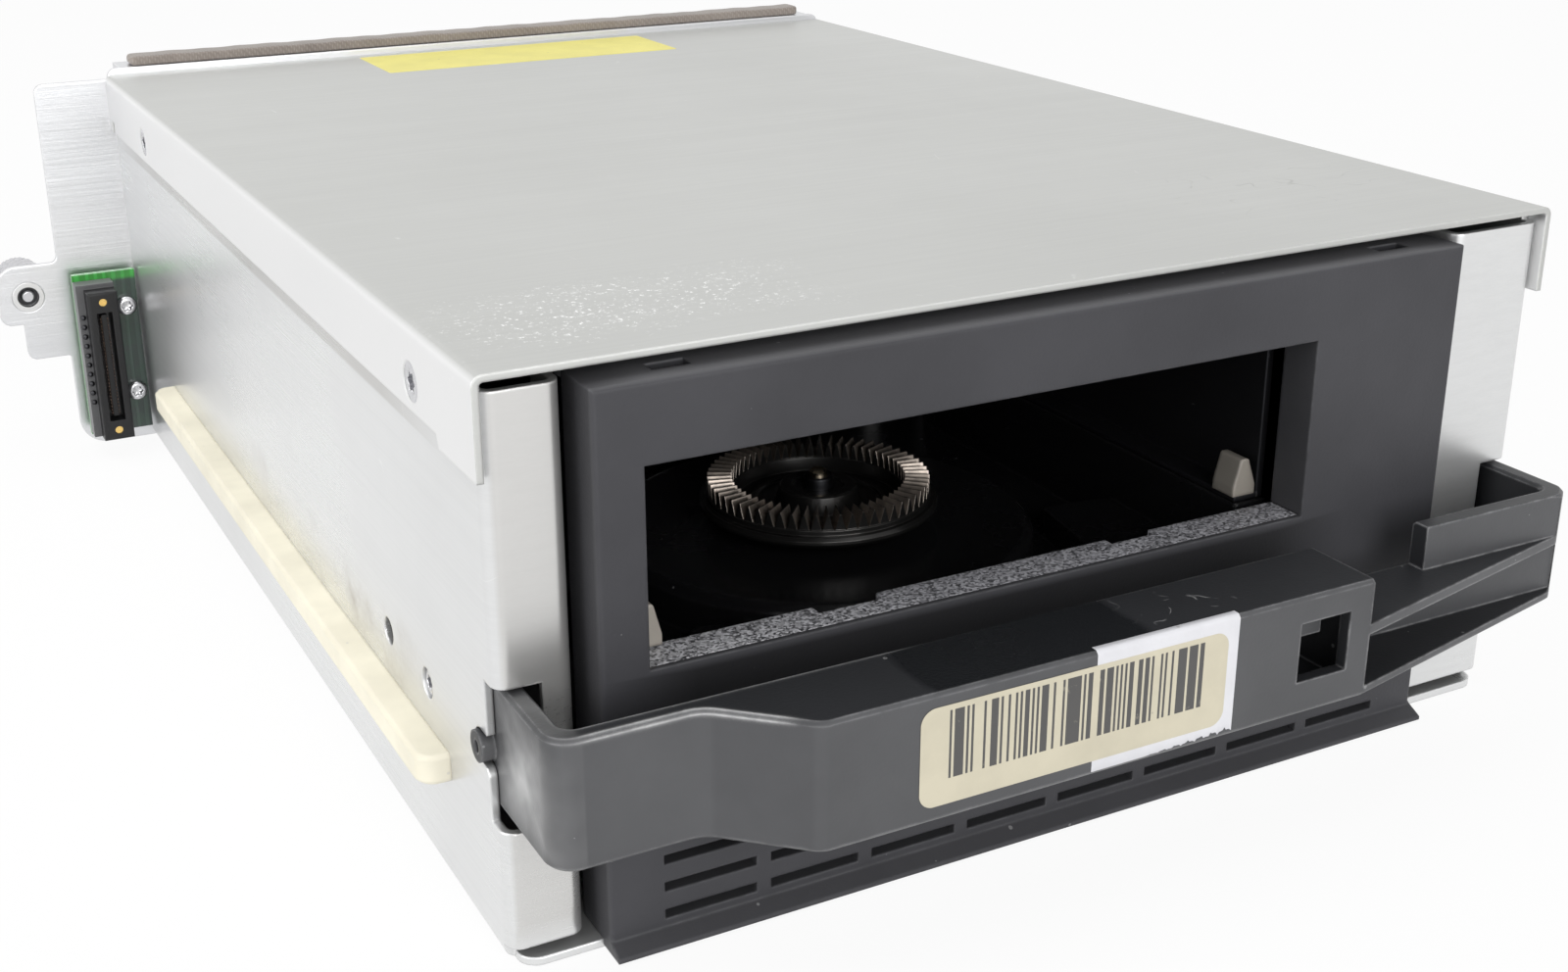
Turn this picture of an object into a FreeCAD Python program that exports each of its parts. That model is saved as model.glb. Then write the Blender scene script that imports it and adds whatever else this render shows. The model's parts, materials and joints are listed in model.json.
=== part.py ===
"""Full-height tape drive in a hot-swap canister, built piece by piece in millimetres.

X runs to the right seen from the front, Y runs from the front to the back, Z is up.
The pieces are laid out from the front edge of the top cover, and each is written with
the origin moved to the middle of the canister's underside.
"""
import FreeCAD, Part
import math
import os

V = FreeCAD.Vector
X_AXIS, Y_AXIS, Z_AXIS = V(1, 0, 0), V(0, 1, 0), V(0, 0, 1)

# ---------------------------------------------------------------- driving dimensions
shell_width = 179.8         # outside the side walls
shell_length = 241.0
shell_height = 85.0         # underside to the top of the cover
steel = 1.2                 # shell sheet
cover_sheet = 1.0
fit_gap = 0.1               # between sheets and mouldings that slip together
bend = 2.2                  # outside radius of a sheet bend

flange_set_back = 1.0       # front flanges behind the cover's front edge
flange_lift = 2.6           # front flanges above the underside
flange_return = 8.0
lip_depth = 12.1            # cover's side lip
lip_front_extra = 1.9       # the lip is deeper near the front
lip_front_length = 14.2

bezel_width = 146.5
bezel_height = 81.4
bezel_offset = -3.6         # middle of the bezel from the middle of the shell
bezel_lift = 0.4
bezel_proud = 2.8           # in front of the cover's edge
bezel_depth = 9.6
bezel_wall = 2.0
skirt_flare = 2.6
skirt_height = 1.9

slot_width = 111.0
slot_height = 28.6
slot_centre_x = -14.4
slot_floor_z = 42.0
slot_jamb = 7.0             # depth of the slot's walls
sill_lip = 0.9              # bezel left standing in front of the sill

vent_columns = 8
vent_pitch = 16.45
vent_length = 14.2
vent_height = 1.5
vent_rows = (4.3, 8.6, 12.9)

handle_bottom = 22.4
handle_height = 18.9
handle_wall = 3.1
handle_reach = 14.2         # front of the side parts, in front of the cover's edge
handle_grip_reach = 25.0    # front of the middle part
grip_left_x = -56.3
grip_right_x = 35.4
step_left_x = -68.0
bar_left_x = 56.5
bar_height = 7.2
rib = 1.6
arm_end_y = 37.0            # arms run this far into the shell
arm_play = 0.3
boss_y = 8.0
boss_z = 31.0
boss_radius = 2.3
arm_screw_y = 30.6
arm_screw_z = 29.9
side_hole_y = 48.7
side_hole_z = 30.4
side_hole_radius = 2.2

rail_height = 4.6
rail_depth = 4.6
rail_bottom = 18.1
rail_front_y = 22.0
rail_length = 184.0
rail_stud = 1.9             # radius of the studs that snap into the wall

rear_sheet = 1.2
wing_reach = 16.3           # rear plate beyond the shell's left wall
ear_reach = 29.9
gasket_height = 2.2
gasket_depth = 6.4

deck_wall = 2.6
deck_length = 195.0
deck_floor_z = 26.0
deck_floor = 4.0
lid_sheet = 1.0
hub_x = slot_centre_x
hub_y = 52.0
hub_teeth = 60
hub_ring_radius = 18.8
hub_tooth_top = 40.8
reel_x = -20.0
reel_y = 151.0
reel_radius = 42.0
running_gap = 0.05          # shaft in a bore
spin_gap = 0.4              # between turning and still pieces
head_x = 42.5
head_y = 120.0
guide_arc_x = 27.5          # the four guide rollers stand on an arc round this point
guide_arc_radius = 31.6

board = 1.6
screw_radius = 1.45
sunk_head = 2.9             # radius of a countersunk head
fan_size = 60.0
fan_depth = 15.0
fan_x = 42.0

# ---------------------------------------------------------------- places worked out from them
half = shell_width / 2
inner = half - steel
cover_half = half + fit_gap + cover_sheet
cover_under = shell_height - cover_sheet
wall_top = cover_under - 0.7
bezel_left = bezel_offset - bezel_width / 2
bezel_right = bezel_left + bezel_width
bezel_top = bezel_lift + bezel_height
bezel_face = -bezel_proud
slot_left = slot_centre_x - slot_width / 2
slot_right = slot_left + slot_width
slot_top = slot_floor_z + slot_height
handle_top = handle_bottom + handle_height
arm_outer = inner - fit_gap
arm_inner = arm_outer - handle_wall
deck_left = bezel_left + 2.2
deck_right = bezel_right - 2.2
deck_front = bezel_face + bezel_depth + 0.6
deck_back = deck_front + deck_length
deck_bottom = 3.0
deck_top = 78.6
rear_y = shell_length
rear_top = shell_height + 1.4
fan_z = 42.0


# ---------------------------------------------------------------- small tools
def box(x0, x1, y0, y1, z0, z1):
    """A box given by its limits along each axis."""
    return Part.makeBox(x1 - x0, y1 - y0, z1 - z0, V(x0, y0, z0))


def rod_z(x, y, z0, z1, radius):
    return Part.makeCylinder(radius, z1 - z0, V(x, y, z0), Z_AXIS)


def rod_y(x, z, y0, y1, radius):
    return Part.makeCylinder(radius, y1 - y0, V(x, y0, z), Y_AXIS)


def rod_x(y, z, x0, x1, radius):
    return Part.makeCylinder(radius, x1 - x0, V(x0, y, z), X_AXIS)


def outline(points, place):
    """A closed wire through corners (u, v, radius); a radius above 0 rounds that corner."""
    spots = [V(u, v, 0) for u, v, _ in points]
    count = len(points)
    edges, ends = [], []
    for i, (_, _, radius) in enumerate(points):
        here, before, after = spots[i], spots[i - 1], spots[(i + 1) % count]
        if radius <= 0:
            ends.append((here, here, None))
            continue
        back, ahead = (before - here).normalize(), (after - here).normalize()
        half_turn = back.getAngle(ahead) / 2
        run = radius / math.tan(half_turn)
        middle = (back + ahead).normalize() * (radius / math.sin(half_turn))
        centre = here + middle
        crown = centre - (back + ahead).normalize() * radius
        ends.append((here + back * run, here + ahead * run, crown))
    for i, (start, stop, crown) in enumerate(ends):
        if crown is not None:
            edges.append(Part.Arc(place(start), place(crown), place(stop)).toShape())
        following = ends[(i + 1) % count][0]
        if (following - stop).Length > 1e-6:
            edges.append(Part.LineSegment(place(stop), place(following)).toShape())
    return Part.Wire(edges)


def prism_z(points, z0, z1):
    """An upright prism over an outline in X and Y."""
    wire = outline(points, lambda p: V(p.x, p.y, z0))
    return Part.Face(wire).extrude(V(0, 0, z1 - z0))


def prism_y(points, y0, y1):
    """A prism along Y over an outline in X and Z."""
    wire = outline(points, lambda p: V(p.x, y0, p.y))
    return Part.Face(wire).extrude(V(0, y1 - y0, 0))


def prism_x(points, x0, x1):
    """A prism along X over an outline in Y and Z."""
    wire = outline(points, lambda p: V(x0, p.x, p.y))
    return Part.Face(wire).extrude(V(x1 - x0, 0, 0))


def turned(points, x, y):
    """A solid of revolution about the upright line through (x, y), from (radius, z) corners."""
    spots = [V(x + radius, y, z) for radius, z in points]
    wire = Part.makePolygon(spots + spots[:1])
    return Part.Face(wire).revolve(V(x, y, 0), Z_AXIS, 360)


def mirrored(shape):
    return shape.mirror(V(0, 0, 0), X_AXIS)


def pair(shape):
    """A left-hand shape and its right-hand mirror image."""
    return [shape, mirrored(shape)]


def cut_all(shape, tools):
    return shape.cut(Part.makeCompound(list(tools))) if tools else shape


def fused(shapes):
    result = shapes[0]
    for shape in shapes[1:]:
        result = result.fuse(shape)
    return result.removeSplitter()


def rounded(shape, radius, chosen):
    """Round the edges for which chosen(edge) is true."""
    return shape.makeFillet(radius, [edge for edge in shape.Edges if chosen(edge)])


def runs_along(edge, axis):
    """True for a straight edge parallel to an axis."""
    if not isinstance(edge.Curve, Part.Line):
        return False
    return abs(abs(edge.Curve.Direction.dot(axis)) - 1) < 1e-6


def near(a, b):
    return abs(a - b) < 1e-3


def screw(seat, direction, length, head_radius, head_height):
    """A cheese-head screw: the shank runs from its seat along direction, the head stands behind."""
    head = Part.makeCylinder(head_radius, head_height, seat - direction * head_height, direction)
    return head.fuse(Part.makeCylinder(screw_radius, length, seat, direction)).removeSplitter()


def hex_screw(seat, direction, length, across, head_height):
    """A hex-head screw or jack post: the shank runs from its seat along direction."""
    side = direction.cross(X_AXIS if abs(direction.x) < 0.5 else Z_AXIS)
    start = seat - direction * head_height
    corner = start + side * (across / math.sqrt(3))
    corners = []
    for k in range(7):
        turn = FreeCAD.Rotation(direction, 60 * (k % 6))
        corners.append(start + turn.multVec(corner - start))
    head = Part.Face(Part.makePolygon(corners)).extrude(direction * head_height)
    return head.fuse(Part.makeCylinder(screw_radius, length, seat, direction)).removeSplitter()


def sunk_screw(top, direction, length, head_height):
    """A countersunk screw whose flat head starts at top."""
    head = Part.makeCone(sunk_head, screw_radius, head_height, top, direction)
    shank = Part.makeCylinder(screw_radius, length, top + direction * head_height, direction)
    return head.fuse(shank).removeSplitter()


NODES = {}


def node(name, *solids):
    """Keep the finished solids of one sub-part under its name."""
    NODES[name] = list(solids)


# ---------------------------------------------------------------- canister sheet metal
notch_top = handle_top + 0.6
notch_bottom = handle_bottom - 1.8
notch_inner = arm_inner - 2.0
cut_back_y = 5.5


def corner_post(width):
    """The left front flange: a channel bent round the front corner of the side wall."""
    post = box(-half, -half + width, flange_set_back, flange_set_back + 11, flange_lift, wall_top - 1)
    hollow = box(-half + steel, -half + width - steel, flange_set_back + steel, flange_set_back + 12,
                 flange_lift - 1, wall_top)
    outer_bends = [e for e in post.Edges
                   if runs_along(e, Z_AXIS) and near(e.Vertexes[0].Y, flange_set_back)]
    post = post.makeFillet(bend, outer_bends)
    inner_bends = [e for e in hollow.Edges
                   if runs_along(e, Z_AXIS) and near(e.Vertexes[0].Y, flange_set_back + steel)]
    hollow = hollow.makeFillet(bend - steel, inner_bends)
    trimmed_return = box(-half + width - steel - 0.5, -half + width + 1,
                         flange_set_back + flange_return, flange_set_back + 12, 0, wall_top)
    return post.cut(hollow).cut(trimmed_return)


def arm_notch():
    """The cut-away for a handle arm, with the slot open to the front for the arm's boss."""
    slot_low, slot_high = boss_z - boss_radius - 0.2, boss_z + boss_radius + 0.2
    slot_radius = (slot_high - slot_low) / 2
    opening = prism_x([(-3, notch_bottom, 0), (cut_back_y, notch_bottom, 0), (cut_back_y, slot_low, 1.6),
                       (cut_back_y + 1.8, slot_low, 0), (cut_back_y + 1.8, slot_high, 0),
                       (cut_back_y, slot_high, 0), (cut_back_y, notch_top, 0), (-3, notch_top, 0)],
                      -half - 1, -notch_inner)
    slot = box(-half - 1, -half + 3, cut_back_y, boss_y, slot_low, slot_high)
    return opening.fuse(slot).fuse(rod_x(boss_y, boss_z, -half - 1, -half + 3, slot_radius))


left_flange = bezel_left - 2.0 + half
right_flange = half - bezel_right - 2.0
rail_stud_y = [rail_front_y + rail_length * share for share in (0.12, 0.5, 0.88)]
rail_middle_z = rail_bottom + rail_height / 2
cover_screw_y = (24.7, 202.0)
cover_screw_z = 77.0
mount_screws = [(x, y) for x in (deck_left + 9, deck_right - 9) for y in (45.0, 170.0)]
rear_screw_z = (16.0, 68.0)


def shell():
    """Bottom and side walls in one bent sheet, with front posts and rear tabs."""
    tray = box(-half, half, flange_set_back + bend + 0.4, shell_length, 0, wall_top)
    tray = rounded(tray, bend, lambda e: runs_along(e, Y_AXIS) and near(e.Vertexes[0].Z, 0))
    hollow = box(-inner, inner, -1, shell_length + 1, steel, wall_top + 1)
    hollow = rounded(hollow, bend - steel, lambda e: runs_along(e, Y_AXIS) and near(e.Vertexes[0].Z, steel))
    tongue = prism_z([(-half + 1.5, 0, 3), (half - 1.5, 0, 3), (half - 1.5, 6, 0), (-half + 1.5, 6, 0)],
                     0, steel)
    rear_tab = prism_z([(-inner - 0.2, shell_length - steel, 0), (-inner + 10, shell_length - steel, 0),
                        (-inner + 10, shell_length, 0), (-inner - 0.2, shell_length, 0)], 8, wall_top - 8)
    body = fused([tray.cut(hollow), tongue, corner_post(left_flange), mirrored(corner_post(right_flange))]
                 + pair(rear_tab))
    holes = pair(arm_notch())
    holes += pair(rod_x(side_hole_y, side_hole_z, -half - 1, -inner + 1, side_hole_radius))
    holes += pair(rod_x(arm_screw_y, arm_screw_z, -half - 1, -inner + 1, 2.35))
    for y in rail_stud_y:
        holes += pair(rod_x(y, rail_middle_z, -half - 1, -inner + 1, rail_stud + running_gap))
    for y in cover_screw_y:
        holes += pair(rod_x(y, cover_screw_z, -half - 1, -inner + 1, screw_radius))
    for x, y in mount_screws:
        holes.append(Part.makeCone(sunk_head + 0.1, screw_radius + 0.1, steel, V(x, y, 0), Z_AXIS))
    for z in rear_screw_z:
        holes += pair(rod_y(-inner + 5.5, z, shell_length - steel - 1, shell_length + 1, screw_radius))
    return cut_all(body, holes)


node("chassis_shell", shell())


def cover():
    """The top sheet with its two side lips, each a step deeper at the front."""
    deep_lip_z = shell_height - lip_depth - lip_front_extra
    lip_z = shell_height - lip_depth
    outside = box(-cover_half, cover_half, 0, shell_length, deep_lip_z, shell_height)
    outside = rounded(outside, 1.6, lambda e: runs_along(e, Y_AXIS) and near(e.Vertexes[0].Z, shell_height))
    inside_half = cover_half - cover_sheet
    inside = box(-inside_half, inside_half, -1, shell_length + 1, deep_lip_z - 1, cover_under)
    inside = rounded(inside, 0.6, lambda e: runs_along(e, Y_AXIS) and near(e.Vertexes[0].Z, cover_under))
    step = lip_front_length + 0.8
    trim = prism_x([(lip_front_length, deep_lip_z - 1, 0), (shell_length + 1, deep_lip_z - 1, 0),
                    (shell_length + 1, lip_z, 0), (step, lip_z, 0), (lip_front_length, deep_lip_z, 0)],
                   -cover_half - 1, cover_half + 1)
    rear_nick = box(-cover_half - 1, cover_half + 1, shell_length - 5.4, shell_length - 3.2,
                    lip_z - 1, lip_z + 2.4)
    sheet = outside.cut(inside).cut(trim).cut(rear_nick)
    heads = []
    for y in cover_screw_y:
        heads += pair(Part.makeCone(sunk_head + 0.1, screw_radius + 0.15, cover_sheet,
                                    V(-cover_half, y, cover_screw_z), X_AXIS))
    return cut_all(sheet, heads)


node("top_cover", cover())
cover_fixings = []
for y in cover_screw_y:
    cover_fixings += pair(sunk_screw(V(-cover_half + 0.05, y, cover_screw_z), X_AXIS, 4.2, 0.9))
node("cover_screws", *cover_fixings)

# ---------------------------------------------------------------- front bezel and sill
window_depth = 2.6
window_y = bezel_face + 3.8
window_spans = ((bezel_left + 10.0, bezel_left + 15.6), (bezel_right - 14.2, bezel_right - 8.2))


def bezel():
    """The front moulding: a shallow tray with the cartridge slot, louvres and a flared skirt."""
    tray = box(bezel_left, bezel_right, bezel_face, bezel_face + bezel_depth, bezel_lift, bezel_top)
    tray = rounded(tray, 0.7, lambda e: near(e.BoundBox.YMax, bezel_face))
    hollow = box(bezel_left + bezel_wall, bezel_right - bezel_wall, bezel_face + 2.4,
                 bezel_face + bezel_depth + 1, bezel_lift + bezel_wall, bezel_top - bezel_wall)
    skirt = prism_x([(bezel_face + 1, bezel_lift, 0), (bezel_face + 1, bezel_lift + skirt_height + 0.8, 0),
                     (bezel_face, bezel_lift + skirt_height, 0),
                     (bezel_face - skirt_flare, bezel_lift + 0.6, 0.3),
                     (bezel_face - skirt_flare, bezel_lift, 0)], bezel_left, bezel_right)
    jamb_wall = 1.6
    jambs = box(slot_left - jamb_wall, slot_right + jamb_wall, bezel_face + 0.5, bezel_face + slot_jamb,
                slot_floor_z - 3.4, slot_top + jamb_wall)
    body = fused([tray.cut(hollow), skirt, jambs])
    openings = [box(slot_left, slot_right, bezel_face - 1, bezel_face + bezel_depth + 1,
                    slot_floor_z, slot_top),
                box(slot_left - 0.2, slot_right + 0.2, bezel_face + sill_lip, bezel_face + slot_jamb + 1,
                    slot_floor_z - 2.2, slot_floor_z + 0.2)]
    vents_left = bezel_left + 8.2
    for column in range(vent_columns):
        x = vents_left + column * vent_pitch
        for z in vent_rows:
            openings.append(box(x, x + vent_length, bezel_face - 1, bezel_face + 3,
                                z - vent_height / 2, z + vent_height / 2))
    for x0, x1 in window_spans:
        openings.append(box(x0, x1, window_y, window_y + window_depth, bezel_top - 3, bezel_top + 1))
    openings.append(box(bezel_left - 1, bezel_right + 1, -fit_gap, bezel_face + bezel_depth + 1,
                        0, steel + fit_gap))
    return cut_all(body, openings)


node("front_bezel", bezel())


def sill():
    """The textured ledge behind the slot's lower edge, with two clearance notches."""
    back = bezel_face + slot_jamb + 0.4
    plate = prism_x([(bezel_face + sill_lip + 0.1, slot_floor_z - 1.9, 0), (back, slot_floor_z - 1.9, 0),
                     (back, slot_floor_z - 0.02, 0.5),
                     (bezel_face + sill_lip + 0.1, slot_floor_z - 0.02, 0)],
                    slot_left - 0.1, slot_right + 0.1)
    notches = [box(slot_left + 28.0, slot_left + 38.6, back - 2.4, back + 1, 0, slot_floor_z + 1),
               box(slot_left + 78.6, slot_left + 87.0, back - 2.0, back + 1, 0, slot_floor_z + 1)]
    return cut_all(plate, notches)


node("slot_sill", sill())

# ---------------------------------------------------------------- pull handle
front_y, grip_y = -handle_reach, -handle_grip_reach
back_y = front_y + handle_wall
grip_skin = 2.2
window_left, window_right = 22.0, 31.3
window_low, window_high = 27.7, 37.1


def handle():
    """A U-shaped moulding: plain wall on the left, hollow grip, ribbed lattice on the right."""
    plan = [(-arm_outer, arm_end_y, 1), (-arm_outer, front_y, 4), (step_left_x, front_y, 5),
            (grip_left_x, grip_y, 4), (grip_right_x, grip_y, 2.4), (arm_outer - 2.6, front_y, 3),
            (arm_outer, front_y + 2.2, 2.4), (arm_outer, arm_end_y, 1), (arm_inner, arm_end_y, 0.6),
            (arm_inner, back_y, 2), (-arm_inner, back_y, 2), (-arm_inner, arm_end_y, 0.6)]
    block = prism_z(plan, handle_bottom, handle_top)
    front_edges = [e for e in block.Edges
                   if e.BoundBox.YMax < -handle_reach + 4.5 and near(e.BoundBox.ZMin, e.BoundBox.ZMax)]
    block = block.makeChamfer(0.55, front_edges)

    rib_top = handle_top - bar_height
    channel_back = back_y - rib
    past = arm_outer - 1.2
    cuts = [box(grip_left_x + 1.6, grip_right_x - grip_skin, grip_y + grip_skin, back_y + 1,
                handle_bottom + grip_skin, handle_top - grip_skin),
            prism_z([(step_left_x + 2.4, back_y + 1, 0), (step_left_x + 2.4, back_y - 0.3, 0),
                     (grip_left_x + 1.7, grip_y + grip_skin + 1.6, 0), (grip_left_x + 1.7, back_y + 1, 0)],
                    handle_bottom + grip_skin, handle_top - grip_skin),
            box(grip_right_x, bar_left_x, grip_y - 1, back_y + 1, rib_top, handle_top + 1),
            box(bar_left_x - 1, arm_outer - 3, grip_y, front_y, rib_top, handle_top + 1),
            prism_z([(grip_right_x, grip_y - 1, 0), (past, front_y - 1, 0), (past, channel_back, 0),
                     (grip_right_x, channel_back, 0)],
                    handle_bottom + rib, rib_top - rib),
            box(window_left, window_right, grip_y - 1, grip_y + grip_skin + 1, window_low, window_high)]
    for side in (-1, 1):
        inner_x, outer_x = sorted((side * (arm_inner - 1), side * (arm_outer + 1)))
        cuts += [box(inner_x, outer_x, cut_back_y + 7, arm_end_y + 1, handle_top - 5, handle_top + 1),
                 box(inner_x, outer_x, cut_back_y + 7, arm_end_y + 1,
                     handle_bottom - 1, handle_bottom + 2.5),
                 rod_x(arm_screw_y, arm_screw_z, inner_x, outer_x, screw_radius + 0.1)]
    tab = box(window_left - 2, window_right - 1.5, grip_y + 4.4, grip_y + 6.0,
              window_low + 4.7, handle_top - grip_skin + 0.1)
    webs = [box(x - rib / 2, x + rib / 2, grip_y + 1, back_y - 1.5, handle_bottom + 1, handle_top - 1)
            for x in (-27.0, 4.0)]
    boss = rod_x(boss_y, boss_z, -half - 0.7, -arm_outer + 0.5, boss_radius)
    body = fused([cut_all(block, cuts), tab] + webs + pair(boss))
    return cut_all(body, pair(rod_x(boss_y, boss_z, -half - 1, -half + 1.4, 0.95)))


node("pull_handle", handle())
bracket_inner = {-1: deck_left, 1: deck_right}
arm_fixings = [screw(V(side * arm_outer, arm_screw_y, arm_screw_z), X_AXIS * -side, 7.0, 2.2, 1.0)
               for side in (-1, 1)]
node("handle_screws", *arm_fixings)


def side_bracket(side):
    """The spacer between the drive's side and the handle arm, tapped for the arm's screw."""
    x0, x1 = sorted((bracket_inner[side], side * arm_inner))
    block = box(x0, x1, 18, 62, 24.5, 35.5)
    block = rounded(block, 2, lambda e: runs_along(e, X_AXIS))
    pocket_x0, pocket_x1 = sorted((side * arm_inner, side * (arm_inner - 3)))
    tapped = rod_x(arm_screw_y, arm_screw_z, min(side * arm_inner, side * (arm_inner - 6)),
                   max(side * arm_inner, side * (arm_inner - 6)), screw_radius)
    return cut_all(block, [tapped, box(pocket_x0, pocket_x1, 42, 58, 26.5, 33.5)])


node("side_brackets", side_bracket(-1), side_bracket(1))


# ---------------------------------------------------------------- side rails
def rail():
    """A nylon runner with bull-nosed ends, eased outer edges and studs that snap into the wall."""
    rear = rail_front_y + rail_length
    strip = prism_z([(-half, rail_front_y, 0), (-half - rail_depth, rail_front_y, 3),
                     (-half - rail_depth, rear, 3), (-half, rear, 0)],
                    rail_bottom, rail_bottom + rail_height)
    outer_edges = [e for e in strip.Edges
                   if e.BoundBox.XMax < -half - 0.1 and near(e.BoundBox.ZMin, e.BoundBox.ZMax)]
    strip = strip.makeChamfer(0.6, outer_edges)
    studs = [rod_x(y, rail_middle_z, -half - 1, -inner + 0.5, rail_stud) for y in rail_stud_y]
    return fused([strip] + studs)


node("side_rail_left", rail())
node("side_rail_right", mirrored(rail()))

# ---------------------------------------------------------------- rear plate and its fittings
wing_x = -half - wing_reach
ear_x = -half - ear_reach
ear_z = 37.0
ear_half = 7.2
port_centres = ((-45.0, 26.0), (-45.0, 58.0))
port_half, port_height = 24.0, 6.4
rear_panel_right = half - 0.2
bush_radius = 3.4
captive_x = ear_x + 6.5
dock_left, dock_right = wing_x + 3.6, wing_x + 10.2
board_left, board_right = wing_x + 2.0, -half - 0.6
board_bottom, board_top = 4.0, 41.8
board_back_y = rear_y - 3.0
board_screws = [(board_right - 2.7, z) for z in (board_bottom + 9.3, board_top - 8.1)]


def port_block(x, z, inset, y0, y1):
    """A block over one port's outline, drawn in by inset all round."""
    across, up = port_half - inset, port_height - inset
    return box(x - across, x + across, y0, y1, z - up, z + up)


def hex_hole(x, z, across):
    """One opening of the fan grille, through the rear plate."""
    radius = across / math.sqrt(3)
    corners = [(x + radius * math.cos(math.radians(60 * k)), z + radius * math.sin(math.radians(60 * k)), 0)
               for k in range(6)]
    return prism_y(corners, rear_y - 1, rear_y + rear_sheet + 1)


def fan_grille():
    """Hexagonal holes in a honeycomb inside the fan's circle, clear of its hub."""
    across, pitch = 7.4, 8.8
    holes = []
    for row in range(-3, 4):
        for column in range(-3, 4):
            dx = column * pitch + (pitch / 2 if row % 2 else 0)
            dz = row * pitch * math.sqrt(3) / 2
            if 8 < math.hypot(dx, dz) < fan_size / 2 - 3.4:
                holes.append(hex_hole(fan_x + dx, fan_z + dz, across))
    return holes


def rear_plate():
    """The aluminium back: panel, wing, ear for the captive screw and a flange for the gasket."""
    corner = [(rear_panel_right, 0.2, 2), (rear_panel_right, rear_top, 2), (-half + 0.2, rear_top, 2),
              (-half - 0.6, shell_height - 0.9, 0), (wing_x, shell_height - 0.9, 2),
              (wing_x, ear_z + ear_half, 1.5), (ear_x, ear_z + ear_half, 4.5),
              (ear_x, ear_z - ear_half + 1, 2.5),
              (ear_x + 4.8, ear_z - ear_half + 1, 0.4), (ear_x + 4.8, 22.3, 2), (wing_x + 0.4, 22.3, 0.8),
              (wing_x + 0.4, 0.2, 6)]
    panel = prism_y(corner, rear_y, rear_y + rear_sheet)
    flange = box(-half + 2.4, rear_panel_right - 2.4, rear_y + 0.1, rear_y + 9,
                 rear_top - rear_sheet, rear_top)
    cuts = fan_grille()
    for x, z in port_centres:
        cuts.append(port_block(x, z, 0, rear_y - 1, rear_y + rear_sheet + 1))
        cuts += [rod_y(x + side * 29, z, rear_y - 1, rear_y + rear_sheet + 1, screw_radius + 0.1)
                 for side in (-1, 1)]
    cuts.append(rod_y(captive_x, ear_z, rear_y - 1, rear_y + rear_sheet + 1, bush_radius))
    for z in rear_screw_z:
        cuts += pair(rod_y(-inner + 5.5, z, rear_y - 1, rear_y + rear_sheet + 1, screw_radius + 0.1))
    for x, z in board_screws:
        cuts.append(rod_y(x, z, rear_y - 1, rear_y + rear_sheet + 1, screw_radius))
    cuts += [rod_y(fan_x + dx, fan_z + dz, rear_y - 1, rear_y + rear_sheet + 1, screw_radius + 0.1)
             for dx in (-25, 25) for dz in (-25, 25)]
    return cut_all(panel.fuse(flange).removeSplitter(), cuts)


node("rear_plate", rear_plate())
rear_fixings = []
for z in rear_screw_z:
    rear_fixings += pair(screw(V(-inner + 5.5, rear_y + rear_sheet, z), Y_AXIS * -1, 5.0, 2.7, 1.7))
node("rear_plate_screws", *rear_fixings)

gasket_y = rear_y + 0.8
gasket = prism_x([(gasket_y, rear_top, 0), (gasket_y + gasket_depth, rear_top, 0),
                  (gasket_y + gasket_depth, rear_top + gasket_height, 1.2),
                  (gasket_y, rear_top + gasket_height, 1.2)], -85, 85)
node("emi_gasket", gasket)

captive_hole = screw_radius + running_gap
bush = rod_y(captive_x, ear_z, rear_y - 0.1, rear_y + 4.6, bush_radius)
bush = bush.fuse(rod_y(captive_x, ear_z, rear_y + rear_sheet, rear_y + 4.6, 4.6)).removeSplitter()
mouth = rod_y(captive_x, ear_z, rear_y - 1, rear_y + 1.4, 2.3)
node("captive_bush", cut_all(bush, [rod_y(captive_x, ear_z, rear_y - 1, rear_y + 9, captive_hole), mouth]))


def thumbscrew():
    """A knurled knob on a shank that stands retracted in its bush."""
    knob_start, knob_end, radius, flutes = rear_y + 4.9, rear_y + 17, 5.8, 18
    profile = []
    for k in range(2 * flutes):
        angle, reach = math.pi * k / flutes, radius - 0.5 * (k % 2)
        profile.append((captive_x + reach * math.cos(angle), ear_z + reach * math.sin(angle), 0))
    grip = prism_y(profile, knob_start + 1.6, knob_end - 1.2)
    core = rod_y(captive_x, ear_z, knob_start, knob_end, radius - 0.9)
    shank = rod_y(captive_x, ear_z, rear_y + 0.2, knob_start + 1, screw_radius)
    slot = box(captive_x - 5, captive_x + 5, knob_end - 1.4, knob_end + 1, ear_z - 0.6, ear_z + 0.6)
    return fused([grip, core, shank]).cut(slot)


node("captive_thumbscrew", thumbscrew())

# docking board, connector and screws
docking_board = box(board_left, board_right, board_back_y - board, board_back_y, board_bottom, board_top)
docking_board = cut_all(docking_board, [rod_y(x, z, board_back_y - 5, board_back_y + 1, screw_radius + 0.1)
                                        for x, z in board_screws])
node("docking_board", docking_board)
standoffs = []
for x, z in board_screws:
    post = rod_y(x, z, board_back_y, rear_y, 2.4)
    standoffs.append(post.cut(rod_y(x, z, board_back_y - 1, rear_y + 1, screw_radius)))
node("board_standoffs", *standoffs)
board_fixings = [screw(V(x, board_back_y - board, z), Y_AXIS, 6.4, 2.3, 1.8) for x, z in board_screws]
node("board_screws", *board_fixings)

dock_bottom, dock_top = board_bottom + 0.6, board_top - 2.4
dock_face_y = board_back_y - board - 8.5


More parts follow.
